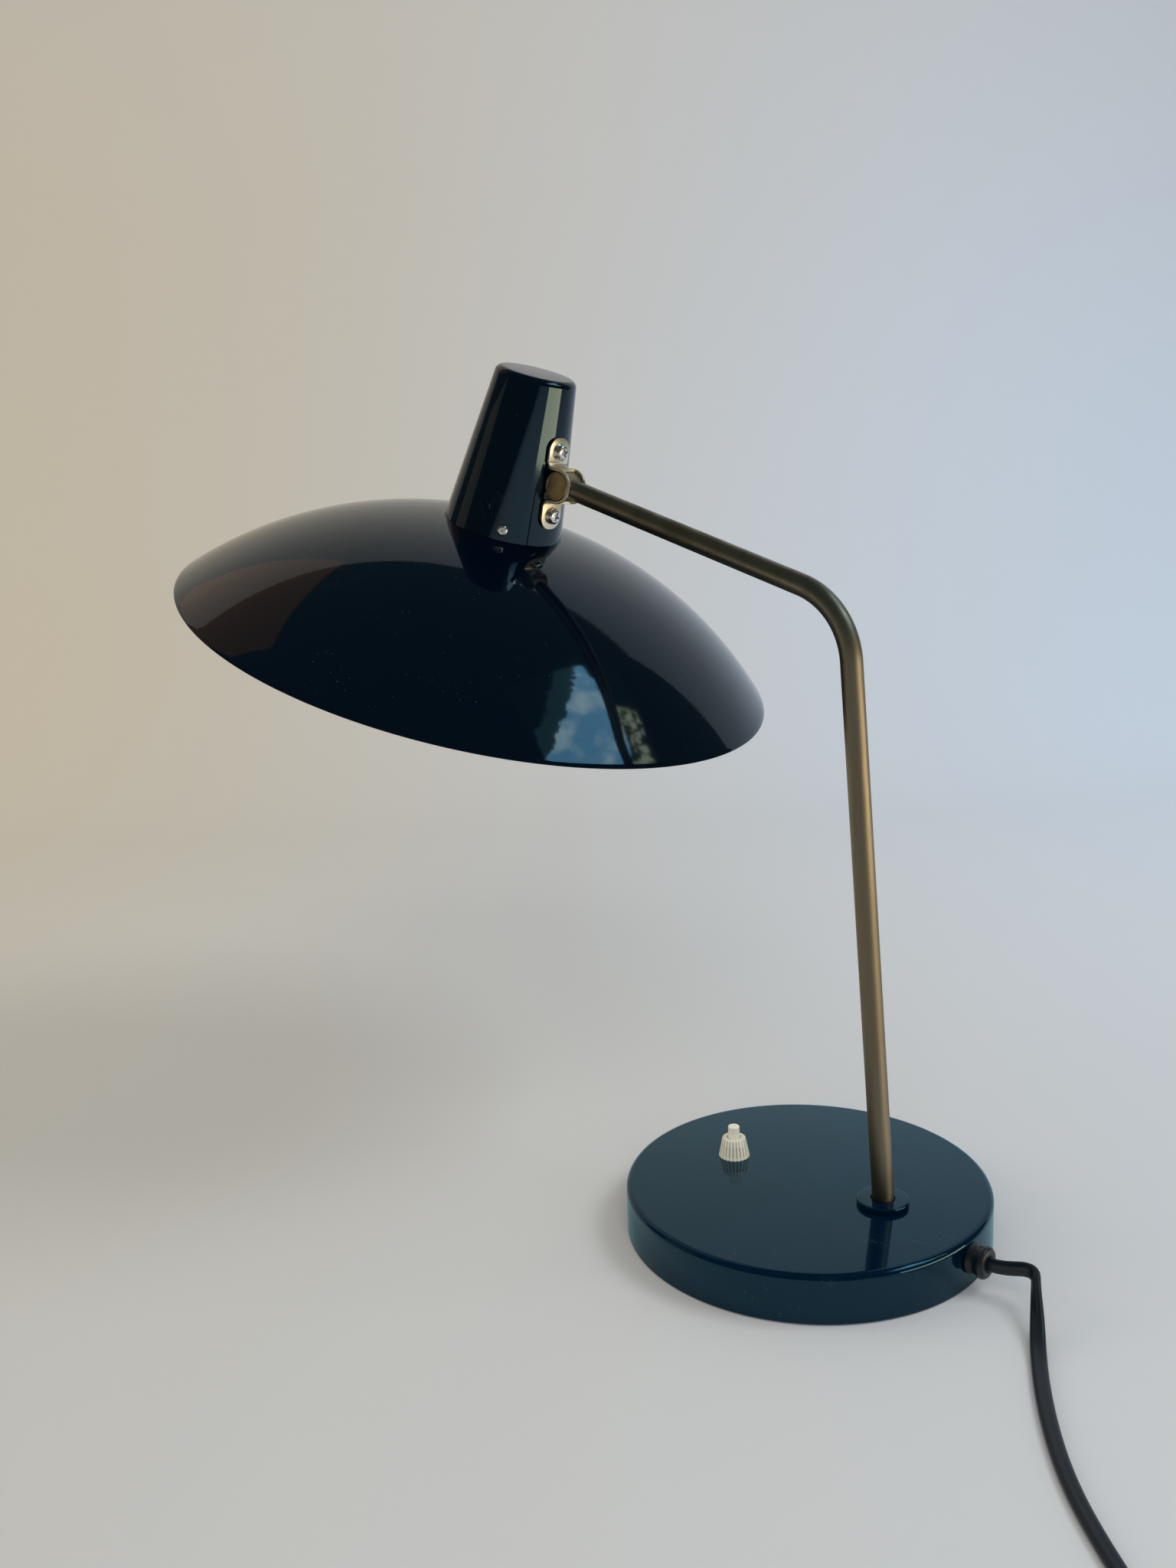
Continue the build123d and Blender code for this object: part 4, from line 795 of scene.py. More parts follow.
class LAMP_OT_strap(bpy.types.Operator):
    """Fold the slotted strap and add its cross-recessed screws and washers."""

    bl_idname = "lamp.strap"
    bl_label = "Strap and screws"

    def execute(self, context):
        arm = settings().arm
        inner = arm.barrel_radius + 0.0001
        outer = inner + arm.strap_thickness
        face = arm.strap_thickness - inner
        bend = 0.0016
        upper = [(face, arm.strap_half)] + arc((face + bend, outer + bend), bend, 180, 270, 6) + [(0, outer)]
        outline = upper + arc((0, 0), outer, 85, -85, 34) + [(x, -z) for x, z in reversed(upper)]
        strap = begin("lamp_pivot_strap")
        draw([(x, -arm.strap_width / 2, z) for x, z in outline])
        bpy.ops.mesh.select_all(action="SELECT")
        bpy.ops.mesh.extrude_region_move(TRANSFORM_OT_translate={"value": (0, arm.strap_width, 0)})
        bpy.ops.mesh.select_all(action="SELECT")
        bpy.ops.mesh.remove_doubles(threshold=0.000002)
        bpy.ops.mesh.select_all(action="DESELECT")
        bpy.ops.object.mode_set(mode="OBJECT")
        for vertex in strap.data.vertices:
            vertex.select = abs(vertex.co.z) > arm.strap_half - 0.00001
        bpy.ops.object.mode_set(mode="EDIT")
        bpy.ops.mesh.bevel(offset=arm.strap_corner, segments=10, affect="VERTICES")
        bpy.ops.mesh.select_all(action="SELECT")
        bpy.ops.mesh.normals_make_consistent(inside=False)
        bpy.ops.object.mode_set(mode="OBJECT")
        outward = sum(face.normal.x * face.area for face in strap.data.polygons)
        apply_modifier(strap, "SOLIDIFY", thickness=arm.strap_thickness, offset=-1 if outward > 0 else 1,
                       use_even_offset=True)
        slot = block((0.0147, (arm.tube_radius + 0.0003) * 2, outer * 2.4), (0.0083, 0, 0))
        cut(strap, slot)
        for side in (1, -1):
            waist = block((0.05, 0.01, (outer + bend) * 2), (0, side * (arm.loop_width / 2 + 0.005), 0))
            soften(waist, 0.0006, 4)
            cut(strap, waist)
        soften(strap, 0.00022)
        for side in (1, -1):
            hole = round_bar(0.0023, -0.01, 0.001)
            spot = Matrix.Translation((0, 0, side * arm.screw_offset)) @ Matrix.Rotation(math.pi / 2, 4, "Y")
            cut(strap, place(hole, spot))
        place(strap, strap_matrix())
        finished(strap, "head", "strap", finish_of("strap"), "pivot_strap")

        washer_height = 0.0009
        outline = [(0.00215, 0), (0.0041, 0), (0.0042, 0.0001), (0.0042, washer_height - 0.0002),
                   (0.0040, washer_height), (0.00215, washer_height), (0.00215, 0)]
        washer = lathe("lamp_strap_washer", outline, 48)
        screw = pan_screw("lamp_strap_screw", 0.002, 0.004, 0.0026, 0.007, 25)
        washers, screws = [], []
        for side in (1, -1):
            spot = strap_matrix() @ frame_matrix((face, 0, side * arm.screw_offset), (0, 1, 0), (1, 0, 0))
            turn = Matrix.Rotation(math.radians(20 * side), 4, "Z")
            washers.append(copy_of(washer, spot))
            screws.append(copy_of(screw, spot @ Matrix.Translation((0, 0, washer_height)) @ turn))
        for spare in (washer, screw):
            bpy.data.objects.remove(spare, do_unlink=True)
        finished(join(washers, "lamp_strap_washers"), "head", "screw", finish_of("screw"), "strap_washers")
        finished(join(screws, "lamp_strap_screws"), "head", "screw", finish_of("screw"), "strap_screws")
        return {"FINISHED"}


def pan_screw(name, shank, head_radius, head_height, length, steps=48):
    """A pan-head screw with a cross recess, standing on its head's seat and pointing down."""
    crown = head_height * 0.6
    side = [(head_radius, 0.0001), (head_radius, head_height - crown)]
    rounded = [(head_radius * (0.55 + 0.45 * math.cos(math.radians(turn))),
                head_height - crown + crown * math.sin(math.radians(turn))) for turn in range(10, 91, 10)]
    outline = [(0, -length), (shank * 0.7, -length), (shank, -length + shank * 0.3), (shank, 0),
               (head_radius - 0.0001, 0)] + side + rounded + [(0, head_height)]
    screw = lathe(name, outline, steps)
    for turn in (0, 90):
        bar = block((head_radius * 1.12, head_radius * 0.25, head_height), (0, 0, head_height * 0.98))
        cut(screw, place(bar, Matrix.Rotation(math.radians(turn), 4, "Z")))
    pit = lathe("pit", [(0, head_height * 0.25), (head_radius * 0.22, head_height * 0.45),
                        (head_radius * 0.30, head_height * 1.2), (0, head_height * 1.2)], 24)
    cut(screw, pit)
    return screw


class LAMP_OT_cap(bpy.types.Operator):
    """Turn the conical cap and add the three small screws that hold it on the shade."""

    bl_idname = "lamp.cap"
    bl_label = "Cap and its screws"

    def execute(self, context):
        head, arm = settings().head, settings().arm
        slope, wall, edge = cap_slope(), head.wall, head.cap_edge
        centre_height = head.cap_height - edge
        centre = (cap_radius(centre_height) - edge / math.cos(slope), centre_height)
        arc_middle = dome_centre()
        foot_radius = head.cap_foot - wall
        foot = arc_middle.y + math.sqrt(head.dome_radius ** 2 - (foot_radius - arc_middle.x) ** 2) + 0.00005
        outer = arc(centre, edge, math.degrees(slope), 90, 14)
        inner = arc(centre, edge - wall, 90, math.degrees(slope), 10)
        inner_foot = cap_radius(foot) - wall / math.cos(slope)
        outline = [(inner_foot, foot), (cap_radius(foot), foot)] + outer + [(0, head.cap_height)]
        outline += [(0, head.cap_height - wall)] + inner + [(inner_foot, foot)]
        cap = lathe("lamp_cap_shell", outline, 160)
        place(cap, head_matrix())
        window = block((0.02, 0.0105, 0.0160), (-0.012, 0, 0))
        cut(cap, place(window, strap_matrix()))
        for side in (1, -1):
            spot = strap_matrix() @ frame_matrix((0, 0, side * arm.screw_offset), (0, 1, 0), (1, 0, 0))
            cut(cap, place(round_bar(0.0023, -0.016, 0.0), spot))
        spots = []
        for angle in CAP_SCREW_TURNS:
            way = Vector((math.cos(math.radians(angle)), math.sin(math.radians(angle)), 0))
            height = head.crown_height + 0.0053
            seat = way * cap_radius(height) + Vector((0, 0, height))
            across = Vector((0, 0, 1)).cross(way)
            spot = head_matrix() @ frame_matrix(seat, across, way * math.cos(slope) + Vector((0, 0, math.sin(slope))))
            spots.append(spot)
            cut(cap, place(round_bar(0.0018, -0.0035, 0.003, 24), spot))
        finished(cap, "head", "enamel", finish_of("enamel"), "cap_shell")

        screw = pan_screw("lamp_cap_screw", 0.0015, 0.0028, 0.0019, 0.006)
        screws = [copy_of(screw, spot @ Matrix.Translation((0, 0, 0.00005)) @ Matrix.Rotation(0.5, 4, "Z"))
                  for spot in spots]
        bpy.data.objects.remove(screw, do_unlink=True)
        finished(join(screws, "lamp_cap_screws"), "head", "screw", finish_of("screw"), "cap_screws")
        return {"FINISHED"}


class LAMP_OT_shade(bpy.types.Operator):
    """Spin the wide domed shade with its white lining."""

    bl_idname = "lamp.shade"
    bl_label = "Shade"

    def execute(self, context):
        head = settings().head
        centre, wall, slope = dome_centre(), head.wall, cap_slope()
        gap = wall / math.cos(slope) + 0.0001

        def height_at(radius, arc_radius):
            return centre.y + math.sqrt(arc_radius ** 2 - (radius - centre.x) ** 2)

        def turn_at(radius, arc_radius):
            return math.degrees(math.acos((radius - centre.x) / arc_radius))

        neck_top = head.crown_height + head.neck_height
        neck_radius = cap_radius(head.crown_height) - gap
        inner_radius = head.dome_radius - wall
        rim_turn = math.degrees(math.asin(-centre.y / head.dome_radius))
        inner_rim = math.degrees(math.asin(-centre.y / inner_radius))
        outside = arc(centre, head.dome_radius, rim_turn, turn_at(neck_radius, head.dome_radius), 60)
        inside = arc(centre, inner_radius, turn_at(neck_radius - wall, inner_radius), inner_rim, 60)
        top_radius = cap_radius(neck_top) - gap
        outline = outside + [(top_radius, neck_top), (top_radius - wall, neck_top)] + inside + [outside[0]]
        shade = lathe("lamp_shade_bowl", outline, 256)
        soften(shade, 0.00025, 2, 60)
        place(shade, head_matrix())
        for angle in CAP_SCREW_TURNS:
            way = Vector((math.cos(math.radians(angle)), math.sin(math.radians(angle)), 0))
            height = head.crown_height + 0.0053
            spot = head_matrix() @ frame_matrix(way * cap_radius(height) + Vector((0, 0, height)),
                                                Vector((0, 0, 1)).cross(way),
                                                way * math.cos(slope) + Vector((0, 0, math.sin(slope))))
            cut(shade, place(round_bar(0.0018, -0.005, -0.0005, 24), spot))
        finished(shade, "head", "enamel", finish_of("enamel"), "shade_bowl", angle=40)
        shade.data.materials.append(finish_of("lining"))
        inward = head_matrix().inverted()
        for face in shade.data.polygons:
            middle = inward @ face.center
            reach = math.hypot(math.hypot(middle.x, middle.y) - centre.x, middle.z - centre.y)
            if reach < head.dome_radius - wall * 0.6:
                face.material_index = 1
        return {"FINISHED"}


class LAMP_OT_switch(bpy.types.Operator):
    """Turn the fluted switch collar and the push button."""

    bl_idname = "lamp.switch"
    bl_label = "Switch"

    def execute(self, context):
        base = settings().base
        top = base.height + base.collar_height
        bore, mouth, lip, edge = 0.00405, base.button_radius + 0.0006, 0.001, 0.0005
        outline = [(bore, base.height), (base.collar_foot, base.height),
                   (base.collar_foot - 0.0002, base.height + 0.0012),
                   (base.collar_top + 0.0002, top - 0.0009)]
        outline += arc((base.collar_top - edge, top - edge), edge, 15, 90, 6)
        outline += [(mouth + 0.0003, top), (mouth, top - 0.0003), (mouth, top - lip), (bore, top - lip),
                    (bore, base.height)]
        collar = lathe("lamp_switch_collar", outline, 144)
        lean = math.atan2(base.collar_foot - base.collar_top, base.collar_height)
        length = base.collar_height
        cutter = round_bar(0.0005, 0, length, 16)
        cutters = []
        for number in range(FLUTES):
            turn = number * TAU / FLUTES
            way = Vector((math.cos(turn), math.sin(turn), 0))
            foot = way * (base.collar_foot - 0.0013 * math.tan(lean)) + Vector((0, 0, base.height + 0.0013))
            rise = Vector((0, 0, math.cos(lean))) - way * math.sin(lean)
            cutters.append(copy_of(cutter, frame_matrix(foot, way.cross(rise), rise)))
        bpy.data.objects.remove(cutter, do_unlink=True)
        cut(collar, join(cutters, "flutes"))
        place(collar, Matrix.Translation((base.switch_x, 0, 0)))
        finished(collar, "stand", "ivory", finish_of("fluted ivory"), "switch_collar", angle=28)

        low, high = (corner[2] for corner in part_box("switch_button"))
        flange, ledge = 0.004, low + 0.0015
        crown = arc((base.button_radius - 0.0006, high - 0.0006), 0.0006, 0, 78, 6)
        outline = [(0, low), (flange, low), (flange, ledge), (base.button_radius, ledge)]
        outline += crown + [(base.button_radius * 0.5, high), (0, high)]
        button = place(lathe("lamp_switch_button", outline, 64), Matrix.Translation((base.switch_x, 0, 0)))
        finished(button, "button", "ivory", finish_of("ivory"), "switch_button")
        return {"FINISHED"}


class LAMP_OT_spring(bpy.types.Operator):
    """Wind the return spring of the switch at its length at rest; the real spring shortens as the button goes in."""

    bl_idname = "lamp.spring"
    bl_label = "Switch spring"

    def execute(self, context):
        low, high = (Vector(corner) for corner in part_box("switch_spring"))
        centre = (low + high) / 2
        reach = (high.x - low.x) / 2 - SPRING_WIRE / 2
        rise = high.z - low.z - SPRING_WIRE
        deselect()
        bpy.ops.mesh.primitive_circle_add(vertices=16, radius=SPRING_WIRE / 2)
        spring = context.object
        spring.name = spring.data.name = "lamp_switch_spring"
        bpy.ops.object.mode_set(mode="EDIT")
        bpy.ops.transform.rotate(value=math.radians(90), orient_axis="X", center_override=(0, 0, 0))
        bpy.ops.transform.translate(value=(reach, 0, 0))
        bpy.ops.object.mode_set(mode="OBJECT")
        winding = spring.modifiers.new("winding", "SCREW")
        winding.steps = winding.render_steps = 28
        winding.iterations = SPRING_TURNS
        winding.screw_offset = rise / SPRING_TURNS
        bpy.ops.object.modifier_apply(modifier=winding.name)
        bpy.ops.object.mode_set(mode="EDIT")
        bpy.ops.mesh.select_all(action="SELECT")
        bpy.ops.mesh.fill_holes(sides=0)
        bpy.ops.mesh.select_all(action="SELECT")
        bpy.ops.mesh.normals_make_consistent(inside=False)
        bpy.ops.object.mode_set(mode="OBJECT")
        spring.location = (centre.x, centre.y, low.z + SPRING_WIRE / 2)
        bpy.ops.object.transform_apply(location=True, rotation=True, scale=True)
        finished(spring, "stand", "steel", finish_of("steel"), "switch_spring")
        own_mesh(spring)
        return {"FINISHED"}


class LAMP_OT_grommet(bpy.types.Operator):
    """Mould the rubber grommet in the base's side."""

    bl_idname = "lamp.grommet"
    bl_label = "Grommet"

    def execute(self, context):
        base = settings().base
        bore, reach, radius, waist = 0.0033, base.grommet_reach, base.grommet_radius, base.grommet_waist
        back, face, inner, root, neck = -0.0015, 0.0003, base.grommet_inner, base.grommet_root, base.grommet_neck
        lip_start = reach - 0.0022
        swell = []
        for step in range(1, 17):
            share = step / 16
            level = root + (radius - root) * share
            dip = ((root + radius) / 2 - neck) * math.sin(share * math.pi) ** 2
            swell.append((level - dip, face + share * (lip_start - face)))
        lip = arc((radius - 0.0022, lip_start), 0.0022, 0, 90, 10)
        outline = [(bore, back - 0.0015), (inner - 0.0003, back - 0.0015), (inner, back - 0.0012), (inner, back),
                   (waist, back), (waist, face), (root - 0.0002, face), (root, face + 0.0002)] + swell + lip[1:]
        outline += [(bore + 0.0006, reach), (bore + 0.0002, reach - 0.0004), (bore + 0.0001, reach - 0.0025),
                    (bore, reach - 0.003), (bore, back - 0.0015)]
        grommet = place(lathe("lamp_cord_grommet", outline, 72), exit_matrix())
        finished(grommet, "stand", "grommet", finish_of("rubber"), "cord_grommet")
        return {"FINISHED"}


CORD_WIDTH = 0.0064
CORD_THICKNESS = 0.0038
FLAT = CORD_THICKNESS / 2 + 0.0001
COIL_INNER = 0.0215
COIL_STEP = 0.0074
COIL_QUARTERS = 13
COIL_POINTS = 4
TAIL_RADIUS = 0.080
TAIL_TURN = math.radians(25)
PLUG_LEVEL = 0.01045


def cord_route():
    """The cord's points and its twist at each: out of the base, over the table and round the coil."""
    start = exit_matrix() @ Vector((0, 0, settings().base.grommet_reach))
    way = (exit_matrix().to_3x3() @ Vector((0, 0, 1))).normalized()
    route = [(start, 90), (start + way * 0.005, 90), (Vector((0.1135, -0.0017, 0.0165)), 85),
             (Vector((0.1175, -0.0112, 0.0128)), 75),
             (Vector((0.1235, -0.024, 0.007)), 35), (Vector((0.1293, -0.037, FLAT)), 5),
             (Vector((0.140, -0.059, FLAT)), 0), (Vector((0.1535, -0.0825, FLAT)), 0),
             (Vector((0.1676, -0.1027, FLAT)), 0), (Vector((0.1825, -0.1195, FLAT)), 0),
             (Vector((0.2005, -0.137, FLAT)), 0), (Vector((0.2175, -0.1575, FLAT)), 0),
             (Vector((0.232, -0.1785, FLAT)), 0)]
    before, last = route[-2][0], route[-1][0]
    heading = (last - before).normalized()
    drift = COIL_STEP / TAU
    outer = COIL_INNER + COIL_STEP * COIL_QUARTERS / 4
    turn = math.atan2(heading.y, heading.x) + math.pi / 2 + math.atan2(drift, outer)
    centre = last + heading * CORD_WIDTH - Vector((math.cos(turn), math.sin(turn), 0)) * outer
    count = (2 * COIL_QUARTERS + 2) * COIL_POINTS
    lift = CORD_THICKNESS + 0.0001
    for step in range(count + 1):
        quarter = step / COIL_POINTS
        climb = min(max((quarter - COIL_QUARTERS) / 2, 0), 1)
        inward = min(quarter, COIL_QUARTERS) - max(quarter - COIL_QUARTERS - 2, 0)
        angle = turn - quarter * math.pi / 2
        radius = outer - inward * COIL_STEP / 4
        height = FLAT + lift * (1 - math.cos(math.pi * climb)) / 2
        route.append((centre + Vector((math.cos(angle) * radius, math.sin(angle) * radius, height - FLAT)), 0))
    angle = turn - math.pi / 2 + 2 * math.atan2(drift, outer) - math.atan2(drift, outer)
    end = route[-1][0]
    heading = Vector((math.cos(angle), math.sin(angle), 0))
    side = Vector((-heading.y, heading.x, 0))
    tail = end + (heading * math.sin(TAIL_TURN) + side * (1 - math.cos(TAIL_TURN))) * TAIL_RADIUS
    leaving = heading * math.cos(TAIL_TURN) + side * math.sin(TAIL_TURN)
    middle = end + heading * TAIL_RADIUS * math.tan(TAIL_TURN / 2)
    route.append((Vector((middle.x, middle.y, (end.z + PLUG_LEVEL) / 2)), 0))
    route.append((Vector((tail.x, tail.y, PLUG_LEVEL)), 0))
    route.append((Vector((tail.x, tail.y, PLUG_LEVEL)) + leaving * CORD_WIDTH, 0))
    return route, leaving


class LAMP_OT_cord(bpy.types.Operator):
    """Lay the flat twin cord over the table and wind the rest into a coil."""

    bl_idname = "lamp.cord"
    bl_label = "Cord"

    def execute(self, context):
        route, leaving = cord_route()
        deselect()
        bpy.ops.curve.primitive_nurbs_path_add()
        cord = context.object
        cord.name = cord.data.name = "lamp_cord"
        bpy.ops.object.mode_set(mode="EDIT")
        bpy.ops.curve.select_all(action="SELECT")
        bpy.ops.curve.delete(type="VERT")
        bpy.ops.object.mode_set(mode="OBJECT")
        spline = cord.data.splines.new("NURBS")
        spline.points.add(len(route) - 1)
        for point, (spot, twist) in zip(spline.points, route):
            point.co = (*spot, 1)
            point.tilt = math.radians(twist)
        spline.order_u = 3
        spline.use_endpoint_u = True
        spline.resolution_u = 6
        cord.data.dimensions = "3D"
        cord.data.twist_mode = "Z_UP"
        line = bpy.data.meshes.new_from_object(cord)

        deselect()
        bpy.ops.curve.primitive_nurbs_circle_add(radius=1)
        section = context.object
        bpy.ops.object.mode_set(mode="EDIT")
        bpy.ops.curve.select_all(action="SELECT")
        bpy.ops.curve.delete(type="VERT")
        bpy.ops.object.mode_set(mode="OBJECT")
        outline = section.data.splines.new("POLY")
        outline.use_cyclic_u = True
        outline.points.add(35)
        for number, point in enumerate(outline.points):
            turn = number * TAU / 36
            across = math.copysign(abs(math.cos(turn)) ** 0.8, math.cos(turn)) * CORD_WIDTH / 2
            waist = 1 - 0.16 * math.exp(-(across / 0.0009) ** 2)
            point.co = (across, math.sin(turn) * CORD_THICKNESS / 2 * waist, 0, 1)
        cord.data.bevel_mode = "OBJECT"
        cord.data.bevel_object = section
        cord.data.use_fill_caps = True
        pick(cord)
        bpy.ops.object.convert(target="MESH")
        cord = context.object
        bpy.data.objects.remove(section, do_unlink=True)
        pick(cord)
        bpy.ops.object.mode_set(mode="EDIT")
        close_up()
        finished(cord, "stand", "cord", finish_of("cord"), "cord_tube", "cord_coil", angle=50)
        return {"FINISHED"}


class LAMP_OT_plug(bpy.types.Operator):
    """Mould the plug at the end of the cord, with its two pins."""

    bl_idname = "lamp.plug"
    bl_label = "Plug"

    def execute(self, context):
        route, leaving = cord_route()
        spot = frame_matrix(route[-1][0], leaving, (0, 0, 1))
        length, shoulder, width, nose, depth = 0.038, 0.014, 0.034, 0.014, 0.0208
        outline = [(0, -nose / 2), (shoulder, -width / 2), (length, -width / 2), (length, width / 2),
                   (shoulder, width / 2), (0, nose / 2)]
        body = prism("lamp_plug_body", outline, -depth / 2, depth / 2)
        soften(body, 0.003, 5)
        for number in range(4):
            x = 0.0175 + number * 0.0035
            for side in (1, -1):
                groove = block((0.0013, 0.022, 0.0012), (x, 0, side * (depth / 2 - 0.0002)))
                soften(groove, 0.0003)
                cut(body, groove)
        for side in (1, -1):
            spot_pin = Matrix.Translation((length - 0.006, side * 0.0095, 0)) @ Matrix.Rotation(math.pi / 2, 4, "Y")
            cut(body, place(round_bar(0.0021, 0, 0.01, 32), spot_pin))
        finished(place(body, spot), "stand", "bakelite", finish_of("bakelite"), "plug_body")

        outline = [(0, 0), (0.002, 0), (0.002, 0.0236), (0.00185, 0.0243), (0.0015, 0.0248), (0.0009, 0.025),
                   (0, 0.025)]
        pin = lathe("lamp_plug_pin", outline, 48)
        pins = []
        for side in (1, -1):
            place_pin = Matrix.Translation((length - 0.006, side * 0.0095, 0)) @ Matrix.Rotation(math.pi / 2, 4, "Y")
            pins.append(copy_of(pin, spot @ place_pin))
        bpy.data.objects.remove(pin, do_unlink=True)
        finished(join(pins, "lamp_plug_pins"), "stand", "brass", finish_of("brass"), "plug_pins")
        return {"FINISHED"}


class LAMP_OT_bulb(bpy.types.Operator):
    """Blow the opal bulb and roll its threaded base."""

    bl_idname = "lamp.bulb"
    bl_label = "Bulb"

    def execute(self, context):
        head = settings().head
        radius = head.bulb_radius
        low = -0.00065
        neck_height, neck_radius = 0.0731, 0.01255
        globe = low + radius
        belly = arc((0, globe), radius, -90, 30, 28)
        start, end = Vector(belly[-1]), Vector((neck_radius, neck_height))
        out = Vector((-math.sin(math.radians(30)), math.cos(math.radians(30)))) * 0.026
        up = Vector((0, 1)) * 0.022
        shoulder = []
        for step in range(1, 21):
            share = step / 20
            first, second = start + out * 0.6, end - up * 0.6
            point = ((1 - share) ** 3 * start + 3 * (1 - share) ** 2 * share * first
                     + 3 * (1 - share) * share ** 2 * second + share ** 3 * end)
            shoulder.append(tuple(point))
        outline = belly + shoulder + [(neck_radius, neck_height + 0.002), (0, neck_height + 0.002)]
        glass = place(lathe("lamp_bulb_glass", outline, 96), head_matrix())
        finished(glass, "head", "glass", finish_of("glass"), "bulb_glass", angle=50)

        foot, shoulder_height, top = 0.0731, 0.0919, 0.0941
        outline = [(0.0126, foot), (0.0131, foot)]
        ridges = 5
        for step in range(1, ridges * 8 + 1):
            share = step / (ridges * 8)
            ripple = 0.0126 + 0.0005 * math.cos(share * ridges * TAU)
            outline.append((ripple, foot + share * (shoulder_height - foot)))
        outline += [(0.009, top - 0.0001), (0, top - 0.0001), (0, shoulder_height - 0.0006),
                    (0.0116, shoulder_height - 0.0006), (0.0126, foot)]
        base = place(lathe("lamp_bulb_base", outline, 72), head_matrix())
        finished(base, "head", "brass", finish_of("brass"), "bulb_base")
        return {"FINISHED"}


CARRIED = {
    "base_weight": "iron", "base_plate": "steel", "base_felt": "felt", "plate_screws": "screw",
    "foot_washer": "steel", "foot_nut": "steel", "switch_body": "ivory", "switch_floor": "bakelite",
    "switch_terminals": "brass", "cord_clip": "steel", "clip_screw": "screw",
    "terminal_block": "bakelite", "base_lead": "cord", "switch_wires": "wire", "arm_wires": "wire",
    "holder_bracket": "steel", "neck_nuts": "steel", "holder_nipple": "steel", "nipple_nut": "steel",
    "holder_cover": "bakelite", "holder_sleeve": "bakelite", "holder_insert": "porcelain",
    "screw_shell": "brass", "centre_contact": "brass", "bulb_tip": "brass", "holder_wires": "wire",
}


class LAMP_OT_inner(bpy.types.Operator):
    """Give the frame's own inner pieces their finishes."""

    bl_idname = "lamp.inner"
    bl_label = "Inner pieces"

    def execute(self, context):
        for node, finish in CARRIED.items():
            piece = frame["nodes"][node]
            piece.data.materials.clear()
            piece.data.materials.append(finish_of(finish))
        return {"FINISHED"}


CAMERA_LENS = 1750 / 2048 * 36
CAMERA_AZIMUTH = math.radians(40.98)
CAMERA_HEIGHT = math.radians(10.62)
CAMERA_ROLL = math.radians(-2.13)
CAMERA_DISTANCE = 0.96813
CAMERA_TARGET = Vector((-0.30798, 0.20627, 0.15115))
WINDOW_PLACE = (0.89, 0.49, 1.41)


